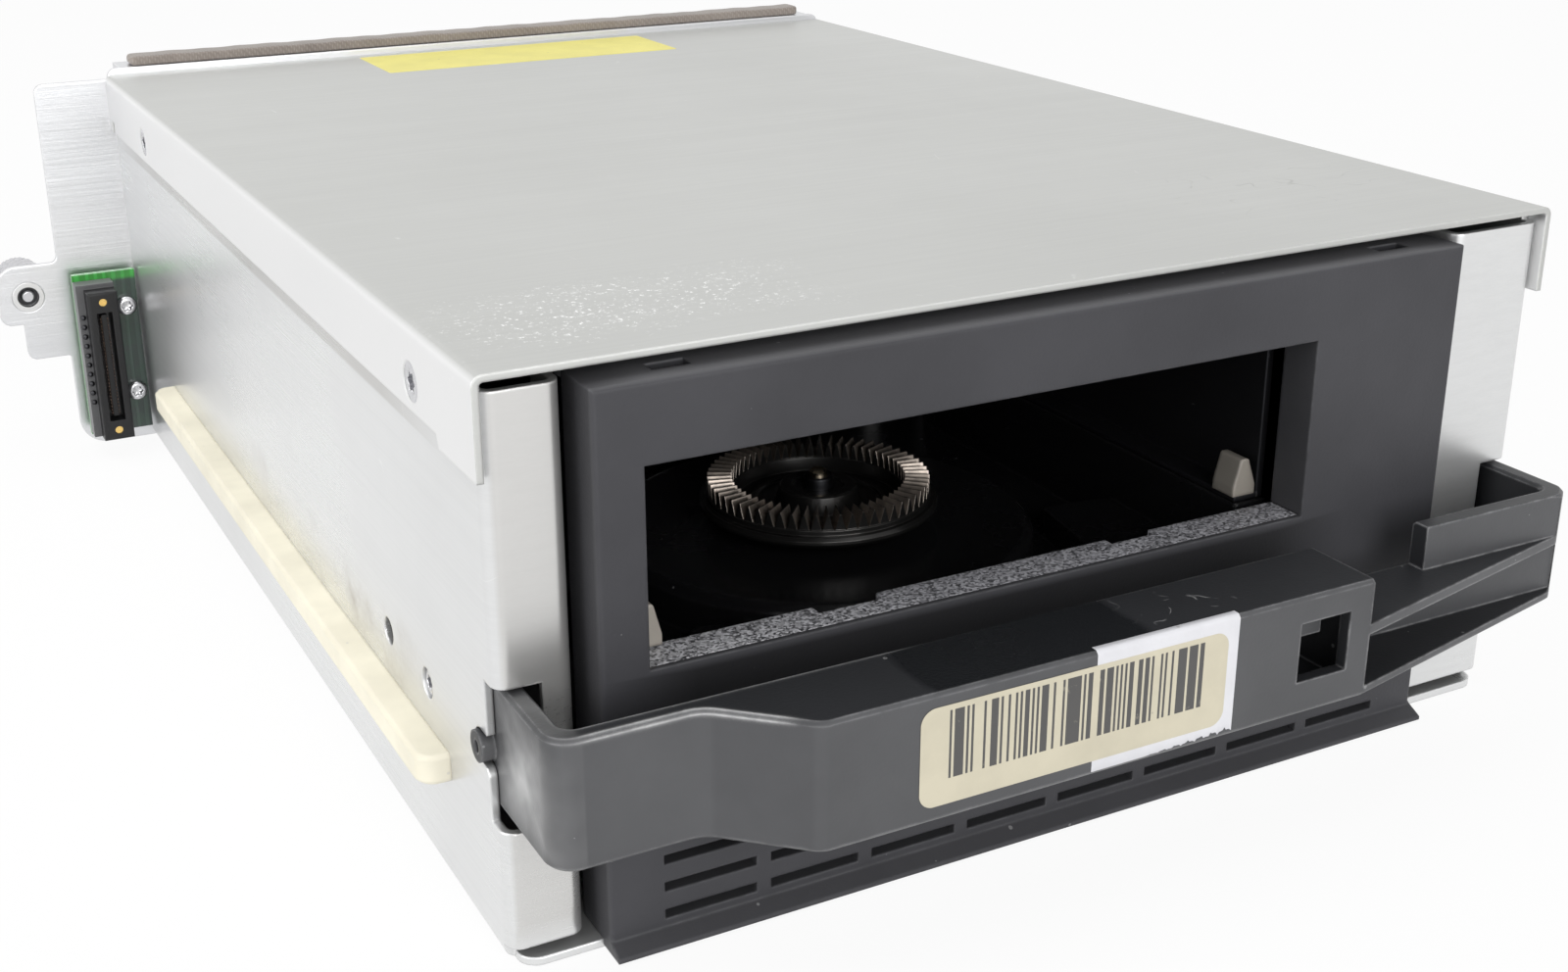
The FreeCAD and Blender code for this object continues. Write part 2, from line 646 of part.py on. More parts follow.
def dock_connector():
    """The upright blind-mate receptacle: a shroud with a long mouth round a contact tongue."""
    foot_y = board_back_y - board
    base = box(dock_left - 1.6, dock_right, foot_y - 4.2, foot_y, dock_bottom, dock_top + 1.0)
    shroud = box(dock_left, dock_right, dock_face_y, foot_y - 4.2, dock_bottom, dock_top)
    shroud = rounded(shroud, 0.6, lambda e: near(e.BoundBox.YMax, dock_face_y))
    middle = (dock_left + dock_right) / 2
    mouth = box(middle - 1.7, middle + 1.7, dock_face_y - 1, dock_face_y + 6,
                dock_bottom + 4.6, dock_top - 4.6)
    tongue = box(middle - 0.6, middle + 0.6, dock_face_y + 1.2, dock_face_y + 6.5,
                 dock_bottom + 5.4, dock_top - 5.4)
    guides = [rod_y(middle, z, dock_face_y - 1, dock_face_y + 6, 0.9)
              for z in (dock_bottom + 2.3, dock_top - 2.3)]
    return fused([cut_all(fused([base, shroud]), [mouth] + guides), tongue])


node("docking_connector", dock_connector())
dock_middle = (dock_left + dock_right) / 2
node("docking_contacts", *[rod_y(dock_middle, z, dock_face_y + 0.3, dock_face_y + 6, 0.85)
                           for z in (dock_bottom + 2.3, dock_top - 2.3)])

# interface ports on the back
port_shells, port_inserts, jack_posts = [], [], []
port_rise = 5.0             # the port's shell stands this far out of the back


for x, z in port_centres:
    flange = port_block(x, z, -1.4, rear_y - steel, rear_y)
    ears = box(x - port_half - 8, x + port_half + 8, rear_y - steel, rear_y,
               z - port_height, z + port_height)
    ring = port_block(x, z, 0.4, rear_y - steel, rear_y + port_rise)
    core = port_block(x, z, 1.4, rear_y - 12, rear_y + port_rise + 1)
    post_holes = [rod_y(x + side * 29, z, rear_y - 3, rear_y + 2, screw_radius) for side in (-1, 1)]
    port_shells.append(cut_all(fused([flange, ears, ring]), [core] + post_holes))
    tongue = box(x - port_half + 5, x + port_half - 5, rear_y - 0.5, rear_y + 3.8, z - 1.3, z + 1.3)
    port_inserts.append(fused([port_block(x, z, 1.4, rear_y - 9, rear_y - 0.2), tongue]))
    jack_posts += [hex_screw(V(x + side * 29, rear_y + rear_sheet, z), Y_AXIS * -1, 5.0, 4.8, 4.2)
                   for side in (-1, 1)]
node("port_shells", *port_shells)
node("port_inserts", *port_inserts)
node("port_jackscrews", *jack_posts)


# ---------------------------------------------------------------- fan
def fan_frame():
    """A square axial fan housing with its motor cup on four struts."""
    y0, y1 = rear_y - fan_depth, rear_y
    side = fan_size / 2
    frame = box(fan_x - side, fan_x + side, y0, y1, fan_z - side, fan_z + side)
    frame = rounded(frame, 4, lambda e: runs_along(e, Y_AXIS))
    duct = rod_y(fan_x, fan_z, y0 - 1, y1 + 1, side - 1.6)
    cup = rod_y(fan_x, fan_z, y0, y0 + 2.4, 10).fuse(rod_y(fan_x, fan_z, y0, y0 + 11, 1.5))
    struts = []
    for k in range(4):
        strut = box(fan_x, fan_x + side - 1, y0, y0 + 2, fan_z - 1.2, fan_z + 1.2)
        strut.rotate(V(fan_x, 0, fan_z), Y_AXIS, 45 + 90 * k)
        struts.append(strut)
    ears = [rod_y(fan_x + dx, fan_z + dz, y0 - 1, y1 + 1, screw_radius + 0.15)
            for dx in (-25, 25) for dz in (-25, 25)]
    return cut_all(fused([frame.cut(duct), cup] + struts), ears)


def fan_impeller():
    """A hub cup with seven blades set at a slant."""
    y0, y1 = rear_y - fan_depth + 2.4 + spin_gap, rear_y - 1.2
    hub = rod_y(fan_x, fan_z, y0, y1, 11.5)
    blades = []
    for k in range(7):
        blade = box(fan_x + 10.5, fan_x + fan_size / 2 - 2.6, (y0 + y1) / 2 - 0.6, (y0 + y1) / 2 + 0.6,
                    fan_z - 8, fan_z + 8)
        blade.rotate(V(fan_x, (y0 + y1) / 2, fan_z), X_AXIS, 32)
        blade = blade.common(rod_y(fan_x, fan_z, y0 + 0.4, y1 - 0.4, fan_size / 2 - 2.6))
        blade.rotate(V(fan_x, 0, fan_z), Y_AXIS, 360 / 7 * k)
        blades.append(blade)
    bore = rod_y(fan_x, fan_z, y0 - 1, y0 + 9.2, 1.5 + running_gap)
    return fused([hub] + blades).cut(bore)


node("fan_frame", fan_frame())
node("fan_impeller", fan_impeller())
node("fan_screws", *[hex_screw(V(fan_x + dx, rear_y + rear_sheet, fan_z + dz), Y_AXIS * -1, 7.0, 5.2, 1.6)
                     for dx in (-25, 25) for dz in (-25, 25)])

# ---------------------------------------------------------------- drive deck
platform_radius = 36.0
platform_top = 33.0
reel_platform_radius = 24.0
sleeve_radius = 7.0
cup_radius = 16.6
cup_cavity = cup_radius + 0.8
web = 3.0
rail_right_x = slot_right + 0.2
rail_left_x = slot_left - 0.2
runner_top = slot_floor_z - 0.8
receiver_travel = 14.0
receiver_back = 86.0
post_spots = [(x, y) for x in (deck_left + 9, deck_right - 9) for y in (22.0, 190.0)]
pin_spots = [(guide_arc_x + guide_arc_radius * math.cos(math.radians(a)),
              head_y + guide_arc_radius * math.sin(math.radians(a))) for a in (-46, -16, 16, 46)]
lead_x = head_x - 8.0
rod_spots = [(head_x, head_y - 9.5), (head_x, head_y + 9.5)]


def deck():
    """The casting that carries the mechanism: side walls, a floor between them and raised platforms."""
    outside = box(deck_left, deck_right, deck_front, deck_back, deck_bottom, deck_top)
    above = box(deck_left + deck_wall, deck_right - deck_wall, deck_front - 1, deck_back - deck_wall,
                deck_floor_z, deck_top + 1)
    below = box(deck_left + deck_wall, deck_right - deck_wall, deck_front - 1, deck_back - deck_wall,
                deck_bottom - 1, deck_floor_z - deck_floor)
    hub_platform = turned([(0, deck_floor_z - 1), (platform_radius, deck_floor_z - 1),
                           (platform_radius, platform_top - 1.5), (platform_radius - 1.5, platform_top),
                           (0, platform_top)], hub_x, hub_y)
    reel_platform = rod_z(reel_x, reel_y, deck_floor_z - 1, platform_top, reel_platform_radius)
    posts = [rod_z(x, y, deck_bottom + 5, deck_floor_z - 1, 3.2) for x, y in post_spots]
    feet = [rod_z(x, y, steel, deck_floor_z - 1, 4.2) for x, y in mount_screws]
    left_pad = prism_z([(-52, 21, 4), (-36, 17, 4), (-33, 25, 4), (-50, 30, 4)], deck_floor_z - 1, 30.0)
    right_pad = prism_z([(20, 16, 2), (37, 16, 3), (37, 40, 3), (24, 42, 2), (22, 30, 6)],
                        deck_floor_z - 1, 31.0)
    right_runner = box(rail_right_x - 4.6, rail_right_x + 1.6, deck_front, receiver_back + receiver_travel,
                       deck_floor_z - 1, runner_top)
    left_runner = box(deck_left + 1, rail_left_x + 4.6, deck_front, receiver_back + receiver_travel,
                      runner_top - 3, runner_top)
    body = fused([outside.cut(above).cut(below), hub_platform, reel_platform, left_pad, right_pad,
                  right_runner, left_runner] + posts + feet)
    spindles = ((hub_x, hub_y), (reel_x, reel_y))
    cuts = [rod_z(x, y, deck_bottom, platform_top - web, cup_cavity) for x, y in spindles]
    cuts += [rod_z(x, y, deck_bottom, platform_top + 1, sleeve_radius) for x, y in spindles]
    cuts += [rod_z(x, y, 0, 16, screw_radius) for x, y in mount_screws]
    cuts += [rod_z(x, y, deck_bottom + 4, deck_bottom + 12, screw_radius) for x, y in post_spots]
    cuts += [rod_z(x, y, deck_floor_z - 3, deck_floor_z + 1, 1.5) for x, y in pin_spots + rod_spots]
    cuts.append(box(deck_left + 30, deck_right - 30, deck_back - deck_wall - 1, deck_back + 1, 34, 70))
    cuts.append(box(deck_left + 20, deck_right - 20, deck_back - deck_wall - 1, deck_back + 1, 8, 20))
    return cut_all(body, cuts)


node("deck_casting", deck())
def deck_lid():
    """The lid sheet, with two tongues that hook up into the bezel's windows."""
    sheet = prism_z([(deck_left, deck_front, 1), (deck_right, deck_front, 1), (deck_right, deck_back, 1),
                     (deck_left, deck_back, 1)], deck_top, deck_top + lid_sheet)
    tongues = []
    for x0, x1 in window_spans:
        flat = box(x0 + 0.6, x1 - 0.6, window_y + 0.4, deck_front + 0.5, deck_top, deck_top + lid_sheet)
        hook = box(x0 + 0.6, x1 - 0.6, window_y + 0.4, window_y + 0.4 + lid_sheet,
                   deck_top, bezel_top - 0.5)
        tongues += [flat, hook]
    return fused([sheet] + tongues)


node("deck_lid", deck_lid())
node("drive_mount_screws", *[sunk_screw(V(x, y, 0.05), Z_AXIS, 8.0, 1.15) for x, y in mount_screws])

logic_board = box(deck_left + 3.4, deck_right - 3.4, deck_front + 4, deck_back - 5,
                  deck_bottom + 5 - board, deck_bottom + 5)
node("logic_board", cut_all(logic_board, [rod_z(x, y, 0, 12, screw_radius + 0.1) for x, y in post_spots]
                            + [rod_z(x, y, 0, 12, 4.8) for x, y in mount_screws]))
node("logic_board_screws", *[hex_screw(V(x, y, deck_bottom + 5 - board), Z_AXIS, 6.5, 5.2, 1.4)
                             for x, y in post_spots])


# ---------------------------------------------------------------- spindles
def spindle(x, y, shaft_top):
    """Sleeve, wound stator, outer rotor cup and shaft of a flat brushless motor."""
    low = deck_bottom + 5.8
    sleeve = rod_z(x, y, low + 3.2, platform_top, sleeve_radius).cut(rod_z(x, y, 0, 60, 2.5 + running_gap))
    ring = rod_z(x, y, low + 4.6, low + 12, 14.6).cut(rod_z(x, y, 0, 60, sleeve_radius))
    gaps = []
    for k in range(9):
        gap = box(x + 9.2, x + 16, y - 1.1, y + 1.1, low + 4, low + 13)
        gap.rotate(V(x, y, 0), Z_AXIS, 40 * k)
        gaps.append(gap)
    stator = cut_all(ring, gaps)
    cup = turned([(0, low), (cup_radius, low), (cup_radius, low + 14.5), (cup_radius - 1.4, low + 14.5),
                  (cup_radius - 1.4, low + 1.6), (4.4, low + 1.6), (4.4, low + 2.8), (0, low + 2.8)], x, y)
    shaft = rod_z(x, y, low, shaft_top, 2.5)
    return sleeve, stator, cup.cut(shaft), shaft


hub_sleeve, hub_stator, hub_cup, hub_shaft = spindle(hub_x, hub_y, hub_tooth_top + 0.8)
reel_sleeve, reel_stator, reel_cup, reel_shaft = spindle(reel_x, reel_y, 58.5)
node("spindle_sleeves", hub_sleeve, reel_sleeve)
node("motor_stators", hub_stator, reel_stator)
node("hub_rotor", hub_cup)
node("reel_rotor", reel_cup)


def hub_gear():
    """The drive gear: a crown of radial face teeth on a flanged, dished hub."""
    root = hub_tooth_top - 2.6
    inner_radius = hub_ring_radius - 4.6
    body = turned([(2.5, platform_top + 0.8), (8, platform_top + 0.8), (8, platform_top + 2.4),
                   (hub_ring_radius + 0.4, platform_top + 2.4), (hub_ring_radius + 1.2, platform_top + 3.2),
                   (hub_ring_radius + 1.2, root - 1.4), (hub_ring_radius + 0.7, root - 0.9),
                   (hub_ring_radius, root - 0.9), (hub_ring_radius, root), (inner_radius, root),
                   (inner_radius - 0.6, root - 2.2), (7.2, root - 2.2), (6.4, root + 0.8),
                   (2.5, root + 0.8)],
                  hub_x, hub_y)
    pitch_angle = 360 / hub_teeth
    tooth_end = hub_ring_radius - 0.25
    half_width = math.pi * tooth_end / hub_teeth * 0.94
    tip = half_width * 0.14
    corners = [(-half_width, root - 0.3), (half_width, root - 0.3),
               (tip, hub_tooth_top), (-tip, hub_tooth_top)]
    outer_wire = Part.makePolygon([V(hub_x + tooth_end, hub_y + y, z) for y, z in corners + corners[:1]])
    share = (inner_radius + 0.25) / tooth_end
    inner_wire = Part.makePolygon([V(hub_x + tooth_end * share, hub_y + y * share, z)
                                   for y, z in corners + corners[:1]])
    tooth = Part.makeLoft([inner_wire, outer_wire], True, True)
    teeth = []
    for k in range(hub_teeth):
        copy = tooth.copy()
        copy.rotate(V(hub_x, hub_y, 0), Z_AXIS, pitch_angle * k)
        teeth.append(copy)
    return body.fuse(teeth)


node("drive_hub_gear", hub_gear())
node("hub_shaft", hub_shaft)


def take_up_reel():
    """Two thin flanges on a tape hub, with lightening windows in the upper one."""
    low, width = 41.0, 13.4
    reel = turned([(2.5, platform_top + 0.8), (6, platform_top + 0.8), (6, low), (reel_radius, low),
                   (reel_radius, low + 1.2), (22, low + 1.2), (22, low + 1.2 + width),
                   (reel_radius, low + 1.2 + width), (reel_radius, low + 2.4 + width),
                   (2.5, low + 2.4 + width)],
                  reel_x, reel_y)
    windows = []
    for k in range(5):
        window = prism_z([(reel_x + 26, reel_y - 7, 0), (reel_x + 37, reel_y - 9, 0),
                          (reel_x + 37, reel_y + 9, 0), (reel_x + 26, reel_y + 7, 0)],
                         low + 1.2 + width - 0.5, low + 4 + width)
        window.rotate(V(reel_x, reel_y, 0), Z_AXIS, 72 * k)
        windows.append(window)
    return cut_all(reel, windows)


node("take_up_reel", take_up_reel())
node("reel_shaft", reel_shaft)

# ---------------------------------------------------------------- tape path
roller_low, roller_high = 41.0, 57.0


def shouldered_pin(x, y):
    """A guide pin pressed into the deck, with the shoulder its roller stands on."""
    return turned([(0, deck_floor_z - 3), (1.5, deck_floor_z - 3), (1.5, deck_floor_z), (3.4, deck_floor_z),
                   (3.4, roller_low - 0.3), (1.5, roller_low - 0.3), (1.5, 60), (0, 60)], x, y)


node("guide_pins", *[shouldered_pin(x, y) for x, y in pin_spots])
for index, (x, y) in enumerate(pin_spots):
    roller = turned([(1.5 + running_gap, roller_low), (6.4, roller_low), (5.2, roller_low + 1.2),
                     (5.2, roller_high - 1.2), (6.4, roller_high), (1.5 + running_gap, roller_high)], x, y)
    node("guide_roller_%d" % (index + 1), roller)

carriage_low = 45.0
head_travel = 6.0


def head_carriage():
    """The block that lifts the head, on two guide rods and the lead screw's nut."""
    block = box(head_x - 4.0, head_x + 4.2, head_y - 6, head_y + 6, carriage_low, carriage_low + 13)
    ears = box(head_x - 3.4, head_x + 3.4, head_y - 13, head_y + 13, carriage_low, carriage_low + 5)
    nut = box(lead_x - 4, head_x - 3, head_y - 4, head_y + 4, carriage_low, carriage_low + 5)
    holes = [rod_z(x, y, 30, 80, 1.5 + running_gap) for x, y in rod_spots]
    holes.append(rod_z(lead_x, head_y, 30, 80, 2 + running_gap))
    return cut_all(fused([block, ears, nut]), holes)


node("head_carriage", head_carriage())
tape_head = prism_z([(head_x + 4.2, head_y - 4, 0), (head_x + 7.4, head_y - 2.4, 0.5),
                     (head_x + 7.4, head_y + 2.4, 0.5), (head_x + 4.2, head_y + 4, 0)],
                    carriage_low + 1, carriage_low + 12)
node("tape_head", tape_head)
node("head_guide_rods", *[rod_z(x, y, deck_floor_z - 3, 68, 1.5) for x, y in rod_spots])
stepper_top = 38.0
stepper = rod_z(lead_x, head_y, deck_floor_z, stepper_top, 8)
stepper = stepper.cut(rod_z(lead_x, head_y, 30, 40, 2 + running_gap))
node("head_stepper", stepper)
node("lead_screw", rod_z(lead_x, head_y, 30 + running_gap, 66, 2))


# ---------------------------------------------------------------- cartridge receiver
def receiver():
    """An inverted tray: roof, two side walls and inturned lips that carry the cartridge."""
    gauge = 1.2
    y0, y1 = deck_front + 0.6, receiver_back
    left, right = rail_left_x - gauge, rail_right_x + gauge
    roof = box(left, right, y0, y1, slot_top + 0.4, slot_top + 0.4 + gauge)
    walls = [box(left, rail_left_x, y0, y1, runner_top + 0.2, slot_top + 1),
             box(rail_right_x, right, y0, y1, runner_top + 0.2, slot_top + 1)]
    lips = [box(left, rail_left_x + 4.4, y0, y1, runner_top + 0.2, runner_top + 0.2 + 0.8),
            box(rail_right_x - 4.4, right, y0, y1, runner_top + 0.2, runner_top + 0.2 + 0.8)]
    window = prism_z([(left + 18, y0 + 14, 5), (right - 18, y0 + 14, 5), (right - 18, y1 - 14, 5),
                      (left + 18, y1 - 14, 5)], slot_top, slot_top + 4)
    return fused([roof] + walls + lips).cut(window)


node("cartridge_receiver", receiver())
guide_z = runner_top + 1.0


def guide_fin(x0, x1, lean, front):
    """A nylon lead-in fin: broad foot, pointed top, standing on the receiver's lip."""
    tip = x0 + (x1 - x0) * lean
    return prism_y([(x0, guide_z, 0), (x1, guide_z, 0), (x1, guide_z + 1.6, 0.8),
                    (tip + 0.7, guide_z + 6.2, 0.5),
                    (tip - 0.7, guide_z + 6.2, 0.5), (x0, guide_z + 1.6, 0.8)], front, deck_front + 5.6)


node("receiver_guides", guide_fin(rail_left_x + 0.4, rail_left_x + 4.7, 0.55, deck_front - 4.2),
     guide_fin(rail_right_x - 4.7, rail_right_x - 0.4, 0.45, deck_front + 0.6))

# ---------------------------------------------------------------- write one file per sub-part
os.makedirs("parts", exist_ok=True)
to_middle = V(0, -shell_length / 2, 0)
for name, solids in NODES.items():
    group = solids[0] if len(solids) == 1 else Part.makeCompound(solids)
    if not group.isValid():
        print("not valid:", name)
    placed = group.copy()
    placed.translate(to_middle)
    placed.exportStep("parts/%s.step" % name)
count = sum(len(shape.Solids) for solids in NODES.values() for shape in solids)
print(len(NODES), "nodes,", count, "solids")
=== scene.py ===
# %% [markdown]
# # A tape drive in its canister
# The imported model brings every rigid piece, already in place and in metres: X to the right, Y to the
# back, Z up. This lesson gives those pieces their finishes, rebuilds the ones that need finer form,
# and sets up a small product studio. Nothing here moves a piece, because each shape already lies
# where it belongs in its own mesh.

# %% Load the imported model
import json
import math
import bpy
import bmesh
import numpy as np
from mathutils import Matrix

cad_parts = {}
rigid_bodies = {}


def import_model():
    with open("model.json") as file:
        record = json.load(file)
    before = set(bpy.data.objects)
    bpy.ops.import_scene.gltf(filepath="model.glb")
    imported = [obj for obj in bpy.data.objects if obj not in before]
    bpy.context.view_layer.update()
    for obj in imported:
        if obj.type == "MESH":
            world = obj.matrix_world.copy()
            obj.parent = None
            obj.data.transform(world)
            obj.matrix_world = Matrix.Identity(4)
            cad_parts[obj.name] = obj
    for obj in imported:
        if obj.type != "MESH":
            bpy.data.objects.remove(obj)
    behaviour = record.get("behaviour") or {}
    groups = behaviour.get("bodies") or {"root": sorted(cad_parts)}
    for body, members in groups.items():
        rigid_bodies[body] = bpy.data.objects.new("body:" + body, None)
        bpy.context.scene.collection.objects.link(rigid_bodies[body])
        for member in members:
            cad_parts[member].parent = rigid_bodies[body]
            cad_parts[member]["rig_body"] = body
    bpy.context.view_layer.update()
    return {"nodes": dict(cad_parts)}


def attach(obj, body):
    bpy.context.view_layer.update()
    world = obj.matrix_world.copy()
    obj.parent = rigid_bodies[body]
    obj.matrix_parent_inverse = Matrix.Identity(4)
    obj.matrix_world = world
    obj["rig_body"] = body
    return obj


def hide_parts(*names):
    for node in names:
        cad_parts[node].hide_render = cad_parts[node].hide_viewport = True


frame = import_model()

# %% [markdown]
# ## Camera
# A picture of a small object taken from near by needs the true distance, or the front looks too small
# against the back. The camera stands left of the front and above it, with a moderate lens. A slight
# shift centres the object without turning the camera, which keeps the uprights leaning as they should.

# %% Camera
camera_data = bpy.data.cameras.new("studio_camera")
camera = bpy.data.objects.new("studio_camera", camera_data)
bpy.context.scene.collection.objects.link(camera)
camera.location = (-0.16137, -0.33230, 0.15794)
camera.rotation_euler = [math.radians(a) for a in (69.428, 0.183, -27.870)]
camera_data.lens = 44.60
camera_data.shift_x, camera_data.shift_y = 0.00494, -0.02198
camera_data.clip_start, camera_data.clip_end = 0.01, 20
bpy.context.scene.camera = camera
print("camera at", tuple(camera.location))

# %% [markdown]
# ## Floor, sky and lamps
# Sheet metal shows its surroundings, so the studio matters as much as the metal. A white floor and a
# white sky give it something pale to mirror. One broad lamp above, one at the left and one in front
# model the top, the left wall and the front. The sky is plain white only for the
# camera and for reflections; what lights the object is gentler, so that pale metal doesn't burn out.

# %% Floor, sky and lamps
scene = bpy.context.scene
scene.view_settings.view_transform = "Standard"


def area_lamp(name, place, aim, size, watts):
    """A square lamp at place that shines towards aim."""
    data = bpy.data.lights.new(name, "AREA")
    data.size = size
    data.energy = watts
    lamp = bpy.data.objects.new(name, data)
    lamp.location = place
    direction = np.array(aim) - np.array(place)
    pitch = math.atan2(np.hypot(direction[0], direction[1]), -direction[2])
    turn = math.atan2(direction[0], -direction[1])
    lamp.rotation_euler = (pitch, 0, turn + math.pi)
    scene.collection.objects.link(lamp)


area_lamp("top_lamp", (-0.35, 0.10, 1.10), (0, 0, 0.05), 0.9, 4.5)
area_lamp("left_lamp", (-1.20, -0.20, 0.45), (-0.05, 0, 0.04), 0.8, 5)
area_lamp("front_lamp", (-0.10, -1.25, 0.42), (0, -0.1, 0.04), 0.8, 8)


def strongest(tree, *masks):
    """The largest of several values, through a chain of Math nodes."""
    value = masks[0]
    for other in masks[1:]:
        larger = tree.nodes.new("ShaderNodeMath")
        larger.operation = "MAXIMUM"
        tree.links.new(value, larger.inputs[0])
        tree.links.new(other, larger.inputs[1])
        value = larger.outputs[0]
    return value


def seen_directly(tree):
    """1 for rays from the camera, a mirror or glass, and 0 for the rays that light a surface."""
    rays = tree.nodes.new("ShaderNodeLightPath").outputs
    return strongest(tree, rays["Is Camera Ray"], rays["Is Glossy Ray"], rays["Is Transmission Ray"])


def mixed_shaders(tree, share, first, second):
    """A Mix Shader node's output."""
    mix = tree.nodes.new("ShaderNodeMixShader")
    tree.links.new(share, mix.inputs[0])
    tree.links.new(first, mix.inputs[1])
    tree.links.new(second, mix.inputs[2])
    return mix.outputs[0]


world = bpy.data.worlds.new("white_sky")
scene.world = world
world.use_nodes = True
sky = world.node_tree
sky.nodes.clear()
skies = []
for strength in (0.50, 1.0):
    skies.append(sky.nodes.new("ShaderNodeBackground"))
    skies[-1].inputs["Color"].default_value = (1, 1, 1, 1)
    skies[-1].inputs["Strength"].default_value = strength
sky_out = sky.nodes.new("ShaderNodeOutputWorld")
sky.links.new(mixed_shaders(sky, seen_directly(sky), *[s.outputs[0] for s in skies]), sky_out.inputs[0])
print("sky and", len(bpy.data.lights), "lamps")

# %% [markdown]
# ## Building with grids
# Most new pieces are a grid of points: one direction runs along a profile, the other around or along
# the piece. Numpy works out all the points at once, and neighbours in the grid become faces. The
# helpers below only need the points, so each piece's own function is nothing but its formula.
# Lengths are written in millimetres, counted from the cover's front edge as on a drawing.

# %% Grid helpers
origin_depth = 120.5          # how far behind the cover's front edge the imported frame's origin lies
hub_axis = (-14.4, 52.0)      # x and y of the upright drive hub
ear_axis_x, ear_axis_z = -113.3, 37.0


def in_frame(x, y, z):
    """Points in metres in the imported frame, from millimetres counted from the cover's front edge."""
    return np.stack(np.broadcast_arrays(x, np.asarray(y) - origin_depth, z), -1) / 1000


def grid_faces(rows, columns, closed_rows=False, closed_columns=False):
    """Quads between neighbours of a rows by columns grid of point numbers."""
    numbers = np.arange(rows * columns).reshape(rows, columns)
    if closed_rows:
        numbers = np.vstack([numbers, numbers[:1]])
    if closed_columns:
        numbers = np.hstack([numbers, numbers[:, :1]])
    corners = numbers[:-1, :-1], numbers[1:, :-1], numbers[1:, 1:], numbers[:-1, 1:]
    return np.stack(corners, -1).reshape(-1, 4)


def tidy_mesh(piece, doubles, turn_outward):
    """Merge doubled points and, where asked, turn every face outwards."""
    work = bmesh.new()
    work.from_mesh(piece.data)
    bmesh.ops.remove_doubles(work, verts=work.verts, dist=doubles)
    if turn_outward:
        bmesh.ops.recalc_face_normals(work, faces=work.faces)
    work.to_mesh(piece.data)
    work.free()
    return piece


def smooth(piece, degrees):
    """Shade smoothly, but keep edges sharp where faces turn by more than degrees."""
    piece.data.polygons.foreach_set("use_smooth", np.ones(len(piece.data.polygons), bool))
    piece.data.set_sharp_from_angle(angle=math.radians(degrees))
    return piece


def grid_piece(name, points, closed_rows=False, closed_columns=False, degrees=35):
    """One mesh object from grids of points with shape (copies, rows, columns, 3)."""
    points = np.asarray(points, float)
    points = points.reshape(-1, *points.shape[-3:])
    copies, rows, columns = points.shape[:3]
    faces = grid_faces(rows, columns, closed_rows, closed_columns)
    faces = (faces[None] + (np.arange(copies) * rows * columns)[:, None, None]).reshape(-1, 4)
    mesh = bpy.data.meshes.new(name)
    mesh.from_pydata(points.reshape(-1, 3).tolist(), [], faces.tolist())
    piece = bpy.data.objects.new(name, mesh)
    scene.collection.objects.link(piece)
    return smooth(tidy_mesh(piece, 1e-6, True), degrees)


def revolved(radius, along, columns, angles=None):
    """Rings of a surface of revolution: x = r cos t, y = r sin t, z = the height along the axis.

    Radius and along are one number a ring, or an array of rings by columns."""
    t = np.linspace(0, 2 * np.pi, columns, endpoint=False) if angles is None else angles
    radius = np.asarray(radius, float).reshape(len(radius), -1)
    along = np.asarray(along, float).reshape(len(along), -1)
    return np.stack(np.broadcast_arrays(radius * np.cos(t), radius * np.sin(t), along), -1)


def stood(rings, spots, out):
    """Copies of rings whose axis points along out ("+x", "-y" and so on), one at each spot."""
    axis, sign = "xyz".index(out[1]), 1 if out[0] == "+" else -1
    a, b, h = rings[..., 0], rings[..., 1], rings[..., 2] * sign
    turned = np.stack([(h, a, b), (a, h, b), (a, b, h)][axis], -1)
    return turned[None] + np.asarray(spots, float)[:, None, None, :]


def dressed(piece, material, body, slot, *nodes):
    """Give a finished piece its material and its body, and hide the nodes that it stands for; slot is not used.
    """
    piece.data.materials.clear()
    piece.data.materials.append(material)
    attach(piece, body)
    if nodes:
        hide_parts(*nodes)
    return piece


# %% [markdown]
# ## Shader groups
# A few effects turn up in nearly every finish. Real edges are never perfectly sharp: the Bevel node
# rounds the shading at each edge, and comparing its normal with the true one also tells where the
# edges are, for wear. Moulded plastic has a fine even grain. Rolled and brushed sheet has streaks,
# which are noise stretched a hundredfold along one direction. Handling leaves short curved hairlines,
# which are the thin contour lines of a noise, and specks of dust. Each is built once as a group.

# %% Node helpers
def node_group(name, inputs, outputs):
    """A new shader group with float, vector or colour sockets, given as (name, kind, value)."""
    group = bpy.data.node_groups.new(name, "ShaderNodeTree")
    kinds = {"float": "NodeSocketFloat", "vector": "NodeSocketVector", "color": "NodeSocketColor"}
    for label, kind, value in inputs:
        socket = group.interface.new_socket(label, in_out="INPUT", socket_type=kinds[kind])
        socket.default_value = value
    for label, kind in outputs:
        group.interface.new_socket(label, in_out="OUTPUT", socket_type=kinds[kind])
    return group, group.nodes.new("NodeGroupInput").outputs, group.nodes.new("NodeGroupOutput").inputs


def feed(tree, socket, value):
    """Link a socket to an input, or set the input to a number or an RGB triple."""
    if hasattr(value, "is_output"):
        tree.links.new(value, socket)
    elif socket.type == "RGBA":
        socket.default_value = (*value, 1)
    else:
        socket.default_value = value


def node(tree, kind, inputs=(), **settings):
    """A node of a kind, with its settings and its (input, value or socket) pairs."""
    made = tree.nodes.new("ShaderNode" + kind)
    for label, value in settings.items():
        setattr(made, label, value)
    for label, value in dict(inputs).items():
        feed(tree, made.inputs[label], value)
    return made


